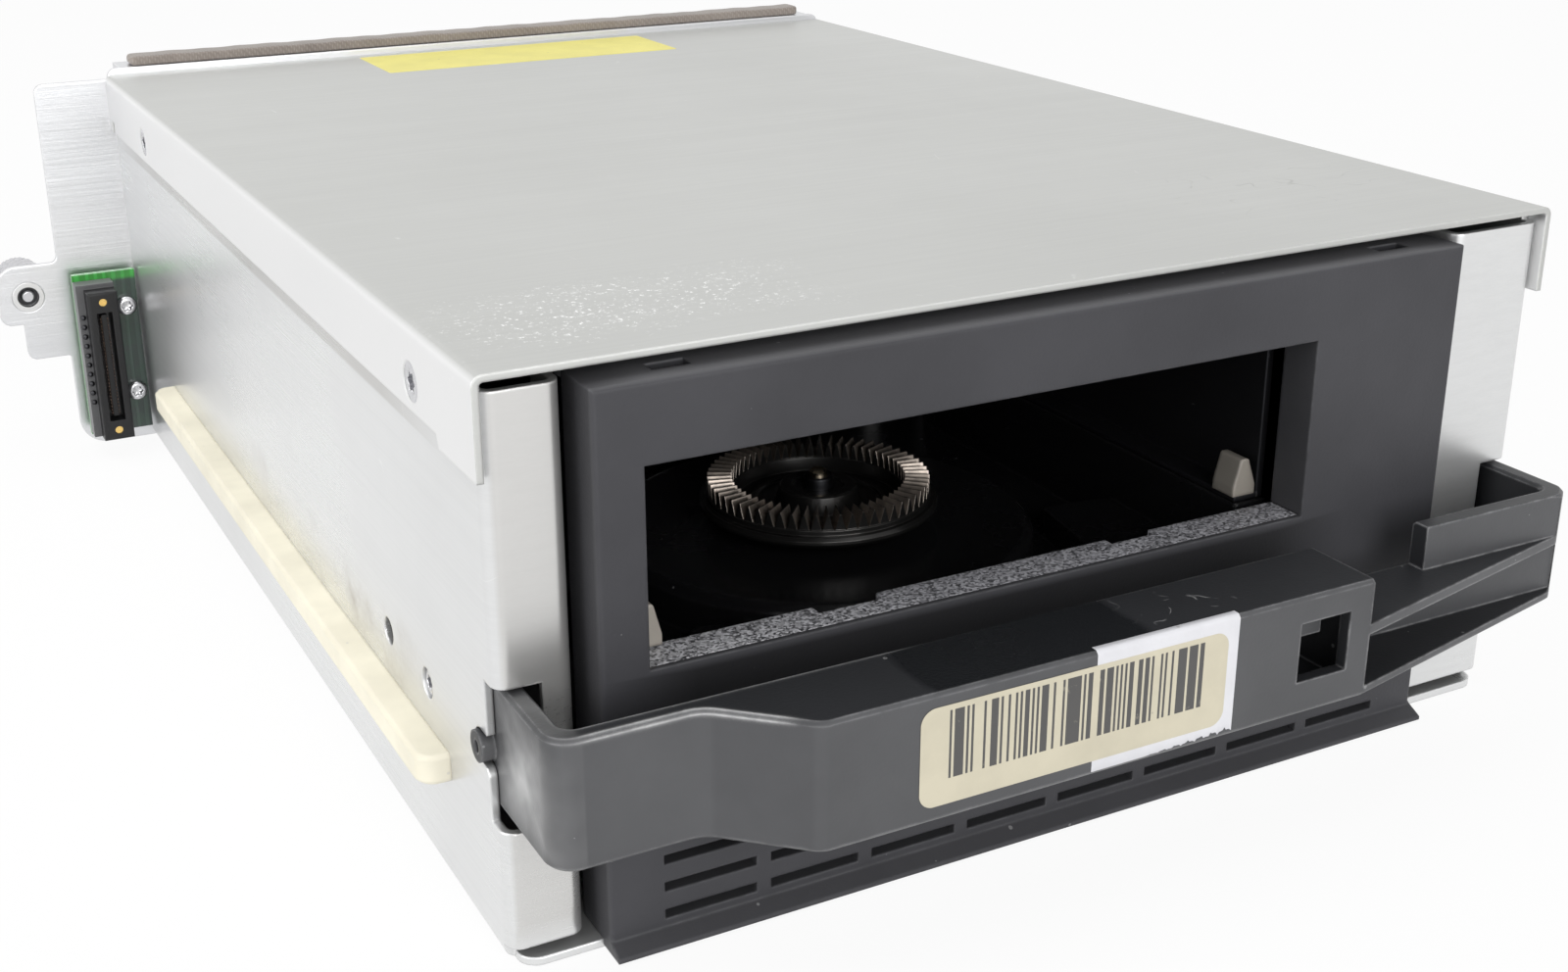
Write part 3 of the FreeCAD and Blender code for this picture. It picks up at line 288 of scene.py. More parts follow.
def maths(tree, operation, *values, clamp=False):
    """The output of a Math node; the values are sockets or numbers."""
    return node(tree, "Math", enumerate(values), operation=operation, use_clamp=clamp).outputs[0]


def object_place(tree):
    """The point in the object's own coordinates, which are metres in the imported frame."""
    return tree.nodes.new("ShaderNodeTexCoord").outputs["Object"]


def facing(tree):
    """The direction that the surface faces, in the object's own axes."""
    return tree.nodes.new("ShaderNodeTexCoord").outputs["Normal"]


def noise(tree, vector, scale, detail=3.0, rough=0.5):
    """The value of a noise texture."""
    return node(tree, "TexNoise", {"Vector": vector, "Scale": scale, "Detail": detail,
                                   "Roughness": rough}).outputs["Fac"]


def ramp(tree, value, start, stop, low=0.0, high=1.0):
    """The value stretched so that start gives low and stop gives high, and clipped outside."""
    return node(tree, "MapRange", {"Value": value, "From Min": start, "From Max": stop,
                                   "To Min": low, "To Max": high}, clamp=True).outputs[0]


def blend(tree, share, first, second):
    """A mix of two colours, each a socket or an RGB triple."""
    return node(tree, "Mix", {0: share, 6: first, 7: second}, data_type="RGBA", clamp_factor=True).outputs[2]


def tinted(tree, tone, colour, *masks):
    """The tone turned towards a colour by the product of the masks, which are sockets or numbers."""
    share = masks[0]
    for other in masks[1:]:
        share = maths(tree, "MULTIPLY", share, other)
    return blend(tree, share, tone, colour)


def coordinate(tree, vector, axis):
    """One coordinate of a vector: 0 for X, 1 for Y and 2 for Z."""
    return node(tree, "SeparateXYZ", {0: vector}).outputs[axis]


def vector_maths(tree, operation, first, second=None):
    """A Vector Math node; the first vector is a socket, the second a socket or three numbers."""
    inputs = {0: first} if second is None else {0: first, 1: second}
    return node(tree, "VectorMath", inputs, operation=operation)


def patch(tree, place, centre, reach, soft=0.3):
    """1 inside a box round centre that reaches so far each way, fading to 0 over its outer share."""
    shifted = vector_maths(tree, "SUBTRACT", place, tuple(in_frame(*centre))).outputs[0]
    scaled = vector_maths(tree, "MULTIPLY", shifted, tuple(1000 / r for r in reach)).outputs[0]
    sides = vector_maths(tree, "ABSOLUTE", scaled).outputs[0]
    return ramp(tree, strongest(tree, *node(tree, "SeparateXYZ", {0: sides}).outputs), 1.0, 1.0 - soft)


# %% Shared effects
def edge_group():
    """Rounded shading at edges, and a mask that is 1 on the edges and broken up by noise."""
    group, given, result = node_group("eased_edges", [("Radius", "float", 0.0005), ("Break up", "float", 0.5)],
                                      [("Normal", "vector"), ("Edge", "float")])
    eased = node(group, "Bevel", {"Radius": given["Radius"]}, samples=6).outputs[0]
    true = group.nodes.new("ShaderNodeNewGeometry").outputs["Normal"]
    turned = ramp(group, vector_maths(group, "DOT_PRODUCT", eased, true).outputs["Value"], 0.995, 0.86)
    patches = ramp(group, noise(group, object_place(group), 260, 5, 0.65), 0.40, 0.62)
    kept = maths(group, "MULTIPLY_ADD", maths(group, "SUBTRACT", patches, 1.0), given["Break up"], 1.0)
    feed(group, result["Normal"], eased)
    feed(group, result["Edge"], maths(group, "MULTIPLY", turned, kept, clamp=True))
    return group


def grain_group():
    """Spark-eroded mould grain: noise and pits as height, with soft large-scale mottling."""
    group, given, result = node_group("moulded_grain", [("Size", "float", 0.0004)],
                                      [("Height", "float"), ("Mottle", "float")])
    place = object_place(group)
    frequency = maths(group, "DIVIDE", 1.0, given["Size"])
    fine = noise(group, place, frequency, 2)
    pits = node(group, "TexVoronoi", {"Vector": place, "Scale": frequency}).outputs["Distance"]
    feed(group, result["Height"], maths(group, "MULTIPLY_ADD", pits, 0.5, fine))
    feed(group, result["Mottle"], noise(group, place, 38, 4, 0.6))
    return group


def streak_group():
    """Brushed streaks: noise stretched by the given vector scale, at two widths."""
    group, given, result = node_group("streaks", [("Stretch", "vector", (1, 1, 1))],
                                      [("Fine", "float"), ("Broad", "float")])
    scaled = vector_maths(group, "MULTIPLY", object_place(group), given["Stretch"]).outputs[0]
    feed(group, result["Fine"], noise(group, scaled, 1.0, 6, 0.7))
    feed(group, result["Broad"], noise(group, scaled, 0.16, 4, 0.6))
    return group


def hairline_group():
    """Short curved scratches: the contour line of a noise, kept only where a second noise is high."""
    group, given, result = node_group("hairlines", [("Scale", "float", 90.0), ("Width", "float", 0.01),
                                                    ("Amount", "float", 0.4)], [("Mask", "float")])
    place = object_place(group)
    waves = noise(group, place, given["Scale"], 1.0, 0.4)
    away = maths(group, "ABSOLUTE", maths(group, "SUBTRACT", waves, 0.5))
    line = maths(group, "SUBTRACT", 1.0, maths(group, "DIVIDE", away, given["Width"]), clamp=True)
    limit = maths(group, "SUBTRACT", 1.0, given["Amount"])
    over = maths(group, "SUBTRACT", noise(group, place, 140, 3, 0.6), limit)
    kept = maths(group, "MULTIPLY", over, 12, clamp=True)
    feed(group, result["Mask"], maths(group, "MULTIPLY", line, kept))
    return group


def speck_group():
    """Dust specks: round spots at random points, with random sizes, most of them left out."""
    group, given, result = node_group("specks", [("Scale", "float", 500.0), ("Size", "float", 0.2),
                                                 ("Amount", "float", 0.2)], [("Mask", "float")])
    cells = node(group, "TexVoronoi", {"Vector": object_place(group), "Scale": given["Scale"]})
    chance = node(group, "SeparateXYZ", {0: cells.outputs["Color"]}).outputs
    kept = maths(group, "LESS_THAN", chance[0], given["Amount"])
    size = maths(group, "MULTIPLY", chance[1], given["Size"])
    spot = maths(group, "LESS_THAN", cells.outputs["Distance"], size)
    feed(group, result["Mask"], maths(group, "MULTIPLY", kept, spot))
    return group


eased_edges, moulded_grain, streaks = edge_group(), grain_group(), streak_group()
hairlines, specks = hairline_group(), speck_group()
print("groups:", [g.name for g in bpy.data.node_groups])


# %% [markdown]
# ## Finishes
# Each material keeps its own Principled shader, and the groups above feed its colour, roughness and
# normal. A finish starts with the colour that the clean piece has, then adds what handling does to it:
# edges polished or whitened, smudges that dull the gloss, and grain that the light can catch. Some
# finishes also carry painted light and shade, said so where it is made.

# %% Material helpers
def new_material(name, metallic=0.0, roughness=0.5):
    """A material with a Principled shader, returned with its tree and shader."""
    material = bpy.data.materials.new(name)
    material.use_nodes = True
    shader = material.node_tree.nodes["Principled BSDF"]
    shader.inputs["Metallic"].default_value = metallic
    shader.inputs["Roughness"].default_value = roughness
    return material, material.node_tree, shader


def placed(tree, group, **values):
    """A group node's outputs in a material, with its input values; _ in a label is a space."""
    made = tree.nodes.new("ShaderNodeGroup")
    made.node_tree = group
    for label, value in values.items():
        made.inputs[label.replace("_", " ")].default_value = value
    return made.outputs


def surface(tree, shader, tone, rough=None, height=None, depth=0.00001, normal=None):
    """Feed the shader: colour, roughness, and the normal from a height in metres times depth."""
    feed(tree, shader.inputs["Base Color"], tone)
    if rough is not None:
        feed(tree, shader.inputs["Roughness"], rough)
    if height is not None:
        bump = node(tree, "Bump", {"Height": height, "Distance": depth, "Strength": 0.8})
        if normal is not None:
            feed(tree, bump.inputs["Normal"], normal)
        feed(tree, shader.inputs["Normal"], bump.outputs[0])


def shade(colour, share):
    """The colour made lighter or darker by a factor."""
    return [min(1.0, c * share) for c in colour]


# %% Sheet metal
def sheet_metal(name, colour, roughness, stretch, smudge=0.5, edge_radius=0.0005, streak_depth=0.3,
                metallic=1.0, bands=0.2, bump=0.000008, extra=None):
    """Satin galvanised sheet: streaks, cloudy smudges, bright cut edges and a few hairlines.

    extra(tree, place, tone, rough) may add marks and painted light that only this sheet has."""
    material, tree, shader = new_material(name, metallic=metallic)
    edges = placed(tree, eased_edges, Radius=edge_radius, Break_up=0.35)
    brush = placed(tree, streaks, Stretch=stretch)
    lines = placed(tree, hairlines, Scale=60.0, Width=0.004, Amount=0.36)[0]
    place = object_place(tree)
    clouds = ramp(tree, noise(tree, place, 9, 5, 0.6), 0.36, 0.70)
    fine = ramp(tree, brush["Fine"], 0.30, 0.70)
    tone = tinted(tree, colour, shade(colour, 0.86), clouds, smudge)
    tone = tinted(tree, tone, shade(colour, 1.14), fine, 0.20)
    tone = blend(tree, ramp(tree, brush["Broad"], 0.42, 0.66, 0.0, bands), tone, shade(colour, 0.82))
    tone = tinted(tree, tone, (0.95, 0.95, 0.95), lines, 0.35)
    tone = tinted(tree, tone, shade(colour, 1.6), edges["Edge"], 0.55)
    rough = maths(tree, "MULTIPLY_ADD", clouds, 0.10, roughness)
    rough = maths(tree, "MULTIPLY_ADD", fine, -0.05, rough)
    if extra:
        tone, rough = extra(tree, place, tone, rough)
    height = maths(tree, "MULTIPLY_ADD", fine, streak_depth, noise(tree, place, 1500, 2, 0.5))
    surface(tree, shader, tone, rough, height, bump, edges["Normal"])
    return material


def scuffed_corner_and_lit_lips(tree, place, tone, rough):
    """Side lips painted brighter as light, a sparkling scuff near the front left corner, and faint scribbles
    right.
    """
    side_facing_light = maths(tree, "ABSOLUTE", coordinate(tree, facing(tree), 0))
    # painted light: faces that look sideways are paler
    tone = blend(tree, ramp(tree, side_facing_light, 0.5, 0.9), tone, (0.80, 0.80, 0.80))
    flecks = ramp(tree, noise(tree, place, 1300, 4, 0.75), 0.58, 0.66)
    edge = noise(tree, place, 90, 4, 0.7)
    near = ramp(tree, maths(tree, "ADD", patch(tree, place, (-62, 20, 85), (34, 16, 9), 0.9), edge), 0.62, 1.1)
    mask = maths(tree, "MULTIPLY", maths(tree, "MULTIPLY", flecks, near), 0.85)
    tone = blend(tree, mask, tone, (1.0, 1.0, 1.0))
    pen = placed(tree, hairlines, Scale=150.0, Width=0.02, Amount=0.5)[0]
    pen_area = patch(tree, place, (62, 32, 85), (26, 16, 9), 0.6)
    tone = tinted(tree, tone, (0.22, 0.22, 0.21), pen, pen_area, 0.35)
    return tone, maths(tree, "MULTIPLY_ADD", mask, 0.25, rough, clamp=True)


def grimy_and_shaded_wall(tree, place, tone, rough):
    """Grime in soft patches above the rail; painted shade darkening the left post and a line under the side
    lips.
    """
    band = patch(tree, place, (-90, 80, 27), (4, 64, 9), 0.8)
    grime = ramp(tree, noise(tree, place, 55, 5, 0.7), 0.50, 0.74, 0.0, 0.55)
    mask = maths(tree, "MULTIPLY", band, grime)
    tone = blend(tree, mask, tone, (0.34, 0.30, 0.24))
    # painted shade: the left post darker
    left_post = patch(tree, place, (-82.5, 3, 44), (6.6, 9, 42), 0.1)
    tone = tinted(tree, tone, (0.50, 0.485, 0.46), left_post, 0.5)
    # painted shade: a dark line under each side lip
    for side in (-90, 90):
        shade_line = patch(tree, place, (side, 128, 71.2), (2.5, 114, 1.9), 0.25)
        tone = tinted(tree, tone, (0.40, 0.385, 0.36), shade_line, 0.55)
    return tone, maths(tree, "MULTIPLY_ADD", mask, 0.3, rough, clamp=True)


def bare_rim(tree, place, tone, rough):
    """The bush is black only round its bore; its wide rim is bare metal like the ear."""
    from_axis = vector_maths(tree, "SUBTRACT", place, tuple(in_frame(ear_axis_x, 240.0, ear_axis_z))).outputs[0]
    from_axis = vector_maths(tree, "MULTIPLY", from_axis, (1, 0, 1)).outputs[0]
    rim = ramp(tree, vector_maths(tree, "LENGTH", from_axis).outputs["Value"], 0.0022, 0.0024)
    return blend(tree, rim, tone, (0.66, 0.66, 0.66)), rough


cover_steel = sheet_metal("cover_steel", (0.54, 0.545, 0.53), 0.46, (14, 900, 900), 0.6,
                          metallic=0.9, bands=0.08, extra=scuffed_corner_and_lit_lips)
shell_steel = sheet_metal("shell_steel", (0.74, 0.745, 0.745), 0.28, (900, 12, 5200), 0.7, streak_depth=0.1,
                          metallic=0.75, bump=0.0000015, extra=grimy_and_shaded_wall)
back_aluminium = sheet_metal("back_aluminium", (0.68, 0.685, 0.70), 0.32, (12, 900, 1500), 0.35,
                             streak_depth=3.0)
grey_metal = sheet_metal("shaft_steel", (0.30, 0.30, 0.31), 0.30, (300, 300, 300), 0.2)
bright_zinc = sheet_metal("bright_zinc", (0.62, 0.62, 0.64), 0.22, (500, 500, 500), 0.2, edge_radius=0.0002)
bush_metal = sheet_metal("bush_metal", (0.05, 0.05, 0.052), 0.35, (500, 500, 500), 0.3, edge_radius=0.0002,
                         extra=bare_rim)
black_oxide = sheet_metal("black_oxide", (0.06, 0.06, 0.065), 0.35, (500, 500, 500), 0.3, edge_radius=0.0002)
dark_sheet = sheet_metal("receiver_sheet", (0.03, 0.03, 0.034), 0.45, (20, 700, 700), 0.4, metallic=0.8)
lid_sheet = sheet_metal("lid_sheet", (0.92, 0.92, 0.92), 0.42, (14, 900, 900), 0.3, metallic=0.2)


# %% Moulded plastics
def moulded(name, top, front, roughness, grain_size, grain_depth, edge_colour, edge_share, radius=0.0006,
            gloss=0.3, metallic=0.0, extra=None):
    """Grained moulding with painted light: the front colour on faces towards the front, the top colour
    elsewhere; mottled, with rubbed edges.
    """
    material, tree, shader = new_material(name, metallic, roughness)
    shader.inputs["Specular IOR Level"].default_value = gloss
    edges = placed(tree, eased_edges, Radius=radius, Break_up=0.8)
    grain = placed(tree, moulded_grain, Size=grain_size)
    dust = placed(tree, specks, Scale=420.0, Size=0.16, Amount=0.10)[0]
    place = object_place(tree)
    # painted light: faces towards the front (-Y) take the front colour, all others the top colour
    front_facing_share = ramp(tree, coordinate(tree, facing(tree), 1), -0.25, -0.85)
    mottle = ramp(tree, grain["Mottle"], 0.3, 0.7)
    tone = blend(tree, front_facing_share, top, front)
    tone = tinted(tree, tone, (0, 0, 0), mottle, 0.22)
    tone = tinted(tree, tone, edge_colour, edges["Edge"], edge_share)
    tone = tinted(tree, tone, (0.45, 0.45, 0.45), dust, 0.35)
    rough = maths(tree, "MULTIPLY_ADD", mottle, 0.10, roughness - 0.05)
    rough = maths(tree, "MULTIPLY_ADD", edges["Edge"], -0.18, rough, clamp=True)
    if extra:
        tone, rough = extra(tree, place, tone, rough)
    surface(tree, shader, tone, rough, grain["Height"], grain_depth, edges["Normal"])
    return material


def handled_grip_and_sheen(tree, place, tone, rough):
    """What hands have done to the handle, and light painted on it.

    A darker glossy patch lies on the grip's top, with small pale scratches beside it. The left arm
    carries a pale painted sheen, and the top edge between that arm and the grip a painted highlight."""
    wobble = maths(tree, "MULTIPLY", noise(tree, place, 120, 2, 0.5), 0.30)
    rubbed = maths(tree, "SUBTRACT", patch(tree, place, (-22, -18, 41), (20, 7.5, 3), 0.5), wobble)
    rubbed = ramp(tree, rubbed, 0.0, 0.16)
    tone = tinted(tree, tone, (0.006, 0.007, 0.008), rubbed, 0.6)
    marks = placed(tree, hairlines, Scale=210.0, Width=0.018, Amount=0.47)[0]
    marked = patch(tree, place, (6, -18, 41), (11, 6, 3), 0.6)
    tone = tinted(tree, tone, (0.50, 0.50, 0.50), marks, marked, 0.55)
    # painted sheen on the left arm's side face
    arm = patch(tree, place, (-89, -4, 32), (5, 11, 11), 0.95)
    arm_sheen_noise = ramp(tree, noise(tree, place, 70, 3, 0.6), 0.25, 0.6)
    tone = tinted(tree, tone, (0.60, 0.60, 0.60), arm, 0.75, arm_sheen_noise)
    # painted highlight along the top edge from the left arm to the grip
    edge = placed(tree, eased_edges, Radius=0.0011, Break_up=0.35)["Edge"]
    step_highlight = patch(tree, place, (-61, -14, 41.5), (27, 9, 2.2), 0.25)
    tone = tinted(tree, tone, (0.80, 0.80, 0.80), edge, step_highlight)
    return tone, maths(tree, "MULTIPLY_ADD", rubbed, -0.14, rough, clamp=True)


def tooth_flank_glints(tree, place, tone, rough):
    """Painted glints on the gear's tooth flanks: faces that look round the axis, neither out nor up."""
    spoke = vector_maths(tree, "SUBTRACT", place, tuple(in_frame(*hub_axis, 0.0))).outputs[0]
    spoke = vector_maths(tree, "MULTIPLY", spoke, (1, 1, 0)).outputs[0]
    spoke = vector_maths(tree, "NORMALIZE", spoke).outputs[0]
    round_axis = vector_maths(tree, "CROSS_PRODUCT", spoke, facing(tree)).outputs[0]
    tangent = maths(tree, "ABSOLUTE", coordinate(tree, round_axis, 2))
    # painted glint, broken up by noise
    wear_and_glint_noise = ramp(tree, noise(tree, place, 420, 3, 0.6), 0.30, 0.60, 0.45, 1.0)
    glint_on_flanks = maths(tree, "MULTIPLY", ramp(tree, tangent, 0.70, 0.88), wear_and_glint_noise)
    return blend(tree, glint_on_flanks, tone, (0.34, 0.29, 0.25)), rough


def pale_foot(tree, place, tone, rough):
    """The connector's foot is a paler grey moulding than its shroud."""
    back = ramp(tree, coordinate(tree, place, 1), 0.1115, 0.1118)
    return blend(tree, back, tone, (0.16, 0.16, 0.165)), rough


def bezel_bands(tree, place, tone, rough):
    """Painted light and shade: the bezel's top strip is painted paler towards the cover, and the band under the
    slot is painted blacker as shade.
    """
    # painted light on the top strip, which the cover shades
    top_painted_light = patch(tree, place, (-3.6, 4.2, 83.8), (75, 7, 2.3), 0.9)
    tone = blend(tree, top_painted_light, tone, (0.60, 0.60, 0.62))
    # painted shade under the slot
    band = patch(tree, place, (-13.4, -3, 36.9), (63.5, 4, 4.6), 0.22)
    tone = tinted(tree, tone, (0.006, 0.006, 0.007), band, 0.85)
    return tone, rough


# Each moulding's top and front colours differ as painted light. The handle's pale edge colour is partly wear
# and partly a painted highlight.
bezel_plastic = moulded("bezel_charcoal", (0.058, 0.058, 0.063), (0.050, 0.050, 0.056), 0.52, 0.0005, 0.000030,
                        (0.16, 0.16, 0.17), 0.35, extra=bezel_bands)
handle_plastic = moulded("handle_charcoal", (0.029, 0.030, 0.033), (0.090, 0.091, 0.096), 0.40, 0.0005,
                         0.000022, (0.42, 0.42, 0.43), 0.65, extra=handled_grip_and_sheen)
black_plastic = moulded("matt_black", (0.012, 0.012, 0.013), (0.014, 0.014, 0.015), 0.45, 0.0004, 0.000012,
                        (0.08, 0.08, 0.08), 0.3, 0.0003)
nylon = moulded("cream_nylon", (0.94, 0.89, 0.72), (0.94, 0.89, 0.73), 0.42, 0.0009, 0.000012,
                (0.92, 0.88, 0.76), 0.5, 0.0008, gloss=0.5)
grey_nylon = moulded("grey_nylon", (0.27, 0.25, 0.22), (0.36, 0.33, 0.29), 0.38, 0.0009, 0.000012,
                     (0.62, 0.56, 0.50), 0.5, 0.0008, gloss=0.5)
dark_gear = moulded("gear_charcoal", (0.035, 0.034, 0.033), (0.035, 0.034, 0.033), 0.24, 0.0005, 0.000004,
                    (0.34, 0.32, 0.30), 0.3, 0.0002, gloss=0.6, metallic=0.7, extra=tooth_flank_glints)
dark_roller = moulded("roller_charcoal", (0.06, 0.06, 0.063), (0.06, 0.06, 0.063), 0.30, 0.0005, 0.000006,
                      (0.3, 0.3, 0.3), 0.4, 0.0002, gloss=0.6)
grey_foot = moulded("connector_black_and_grey", (0.012, 0.012, 0.013), (0.016, 0.016, 0.017), 0.42, 0.0004,
                    0.000010, (0.10, 0.10, 0.10), 0.3, 0.0003, extra=pale_foot)
smoke_reel = moulded("reel_smoke", (0.04, 0.04, 0.044), (0.04, 0.04, 0.044), 0.28, 0.0006, 0.000006,
                     (0.16, 0.16, 0.16), 0.3, 0.0003, gloss=0.6)
deck_paint = moulded("deck_black", (0.009, 0.009, 0.010), (0.010, 0.010, 0.011), 0.26, 0.0009, 0.000010,
                     (0.05, 0.05, 0.05), 0.3, 0.0010, gloss=0.6)


# %% Sill grain
def sill_grain():
    """The sill's spark-eroded texture: one random tone for each cell of a fine Voronoi, with painted light
    making it paler at the left.
    """
    material, tree, shader = new_material("sill_speckle", roughness=0.5)
    place = object_place(tree)
    cells = node(tree, "TexVoronoi", {"Vector": place, "Scale": 2700.0})
    sparkle = coordinate(tree, cells.outputs["Color"], 0)
    mixed = maths(tree, "MULTIPLY_ADD", noise(tree, place, 2600, 3, 0.8), 0.15, sparkle)
    # painted light: the left end paler
    left_end_light = patch(tree, place, (-58, 0, 42), (34, 20, 4), 0.9)
    pale = blend(tree, left_end_light, (0.50, 0.50, 0.535), (0.78, 0.78, 0.815))
    tone = blend(tree, ramp(tree, mixed, 0.15, 1.0), (0.05, 0.05, 0.055), pale)
    edges = placed(tree, eased_edges, Radius=0.0004)
    surface(tree, shader, tone, None, mixed, 0.00010, edges["Normal"])
    return material


# %% Circuit board, gold, gasket and papers
def board_mask():
    """Green solder mask with slightly raised, paler tracks, and painted shade making it much darker behind the
    connector.
    """
    material, tree, shader = new_material("solder_mask", roughness=0.28)
    shader.inputs["Coat Weight"].default_value = 0.4
    place = object_place(tree)
    squeezed = vector_maths(tree, "MULTIPLY", place, (1, 1, 0.15)).outputs[0]
    wave = node(tree, "TexWave", {"Vector": squeezed, "Scale": 160.0, "Distortion": 3.0, "Detail": 1.0},
                wave_type="BANDS", bands_direction="X")
    tracks = ramp(tree, wave.outputs["Fac"], 0.62, 0.74)
    # painted shade behind the connector
    wall_shade = patch(tree, place, (-95.4, 236, 20), (7.2, 6, 20.4), 0.04)
    tone = blend(tree, tracks, blend(tree, wall_shade, (0.03, 0.28, 0.03), (0.026, 0.044, 0.038)),
                 blend(tree, wall_shade, (0.05, 0.40, 0.06), (0.045, 0.075, 0.062)))
    cloud = ramp(tree, noise(tree, place, 300, 3, 0.6), 0.45, 0.75, 0.0, 0.4)
    tone = blend(tree, cloud, tone, (0.02, 0.09, 0.04))
    surface(tree, shader, tone, None, tracks, 0.00004)
    return material


def plated(name, colour):
    """Plating with a slight orange-peel."""
    material, tree, shader = new_material(name, metallic=1.0, roughness=0.22)
    peel = noise(tree, object_place(tree), 2200, 2, 0.5)
    surface(tree, shader, blend(tree, ramp(tree, peel, 0.3, 0.7), colour, shade(colour, 0.82)), None, peel)
    return material


def woven_cloth():
    """Conductive cloth: a plain weave along X and round the profile, with dusty high threads."""
    material, tree, shader = new_material("gasket_cloth", roughness=0.75)
    shader.inputs["Sheen Weight"].default_value = 0.3
    place = object_place(tree)
    warp, weft = [node(tree, "TexWave", {"Vector": place, "Scale": scale}, wave_type="BANDS",
                       bands_direction=way).outputs["Fac"]
                  for scale, way in ((520.0, "X"), (420.0, "DIAGONAL"))]
    weave = maths(tree, "MULTIPLY", warp, weft)
    dust = ramp(tree, noise(tree, place, 60, 5, 0.7), 0.3, 0.7)
    tone = blend(tree, dust, (0.19, 0.16, 0.14), (0.29, 0.25, 0.22))
    surface(tree, shader, blend(tree, maths(tree, "MULTIPLY", weave, 0.4), tone, (0.44, 0.40, 0.36)), None,
            weave, 0.00010)
    return material


def paper(name, colour, marks=None):
    """Printed label stock: faint fibres, a cloudy slightly darker tone and dirt in small specks."""
    material, tree, shader = new_material(name, roughness=0.45)
    place = object_place(tree)
    tone = blend(tree, ramp(tree, noise(tree, place, 120, 5, 0.6), 0.35, 0.7), colour, shade(colour, 0.90))
    if marks:
        tone = marks(tree, place, tone)
    dirt = placed(tree, specks, Scale=700.0, Size=0.22, Amount=0.08)[0]
    tone = tinted(tree, tone, (0.25, 0.22, 0.18), dirt, 0.4)
    surface(tree, shader, tone, None, noise(tree, place, 2500, 3, 0.6), 0.000006)
    return material


def uneven_bars(tree, place, tone):
    """Plain dark bars of uneven width across the label: a random on or off for each narrow step."""
    step_width, paper_share = 0.00038, 0.52
    x, _, z = node(tree, "SeparateXYZ", {0: place}).outputs
    step = maths(tree, "ADD", maths(tree, "FLOOR", maths(tree, "DIVIDE", x, step_width)), 0.5)
    chance = node(tree, "TexWhiteNoise", {"W": step}, noise_dimensions="1D").outputs["Value"]
    ink = maths(tree, "GREATER_THAN", chance, paper_share)
    for value, centre, reach in ((x, -0.0167, 0.0209), (z, 0.0335, 0.0050)):
        away = maths(tree, "ABSOLUTE", maths(tree, "SUBTRACT", value, centre))
        ink = maths(tree, "MULTIPLY", ink, maths(tree, "LESS_THAN", away, reach))
    wear_and_glint_noise = ramp(tree, noise(tree, place, 500, 4, 0.7), 0.28, 0.36, 0.7, 0.95)
    return blend(tree, maths(tree, "MULTIPLY", ink, wear_and_glint_noise), tone, (0.045, 0.045, 0.050))


sill_plastic, solder_mask, gasket_cloth = sill_grain(), board_mask(), woven_cloth()
gold, pale_brass = plated("contact_gold", (0.90, 0.62, 0.22)), plated("pin_brass", (0.80, 0.68, 0.50))
cream_paper = paper("cream_label", (0.59, 0.545, 0.42), uneven_bars)
white_paper = paper("white_label", (0.70, 0.70, 0.73))
dull_bronze = plated("leaf_bronze", (0.11, 0.075, 0.06))
yellow_paper = paper("yellow_sticker", (0.88, 0.80, 0.20))
print(len(bpy.data.materials), "materials")

# %% [markdown]
# ## Finished copies of the rigid pieces
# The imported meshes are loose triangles. A copy that is merged can be shaded smoothly round its bends
# while its corners stay crisp, which flat triangles can't. Each copy stands for its node and rides
# on the same body. Node names pair up with the finishes here, so the table reads like a parts list.

# %% Copies with finishes
def finished_copy(name, material, slot, degrees=32):
    """A merged, smooth-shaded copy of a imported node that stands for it."""
    source = frame["nodes"][name]
    piece = bpy.data.objects.new(name + "_finished", source.data.copy())
    scene.collection.objects.link(piece)
    tidy_mesh(piece, 2e-6, False)
    if "custom_normal" in piece.data.attributes:
        piece.data.attributes.remove(piece.data.attributes["custom_normal"])
    smooth(piece, degrees)
    return dressed(piece, material, source["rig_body"], slot, name)


finishes = [
    (cover_steel, "shell_steel", "top_cover"),
    (shell_steel, "shell_steel", "chassis_shell"),
    (bezel_plastic, "bezel_plastic", "front_bezel"),
    (sill_plastic, "sill_plastic", "slot_sill"),
    (handle_plastic, "handle_plastic", "pull_handle"),
    (black_plastic, "bracket_plastic", "side_brackets"),
    (nylon, "nylon", "side_rail_left side_rail_right"),
    (grey_nylon, "nylon", "receiver_guides"),
    (back_aluminium, "rear_aluminium", "rear_plate"),
    (bush_metal, "fastener_steel", "captive_bush"),
    (bright_zinc, "fastener_steel", "board_standoffs port_jackscrews logic_board_screws fan_screws"),
    (solder_mask, "board_green", "docking_board logic_board"),
    (grey_foot, "connector_black", "docking_connector"),
    (black_plastic, "connector_black", "port_inserts"),
    (gold, "contact_gold", "docking_contacts"),
    (bright_zinc, "port_shell", "port_shells"),
    (black_plastic, "fan_black", "fan_frame fan_impeller"),
    (deck_paint, "deck_metal", "deck_casting head_stepper"),
    (lid_sheet, "receiver_metal", "deck_lid"),
    (dark_sheet, "receiver_metal", "cartridge_receiver head_carriage"),
    (grey_metal, "shaft_steel", "spindle_sleeves hub_rotor reel_rotor reel_shaft guide_pins head_guide_rods "
                                "lead_screw"),
    (grey_metal, "motor_core", "motor_stators"),
    (smoke_reel, "reel_plastic", "take_up_reel"),
    (smoke_reel, "head_ceramic", "tape_head"),
    (dark_roller, "gear_plastic", "guide_roller_1 guide_roller_2 guide_roller_3 guide_roller_4"),
]
copies = {}
for finish, slot_name, names in finishes:
    for name in names.split():
        copies[name] = finished_copy(name, finish, slot_name)
print(len(copies), "finished copies")

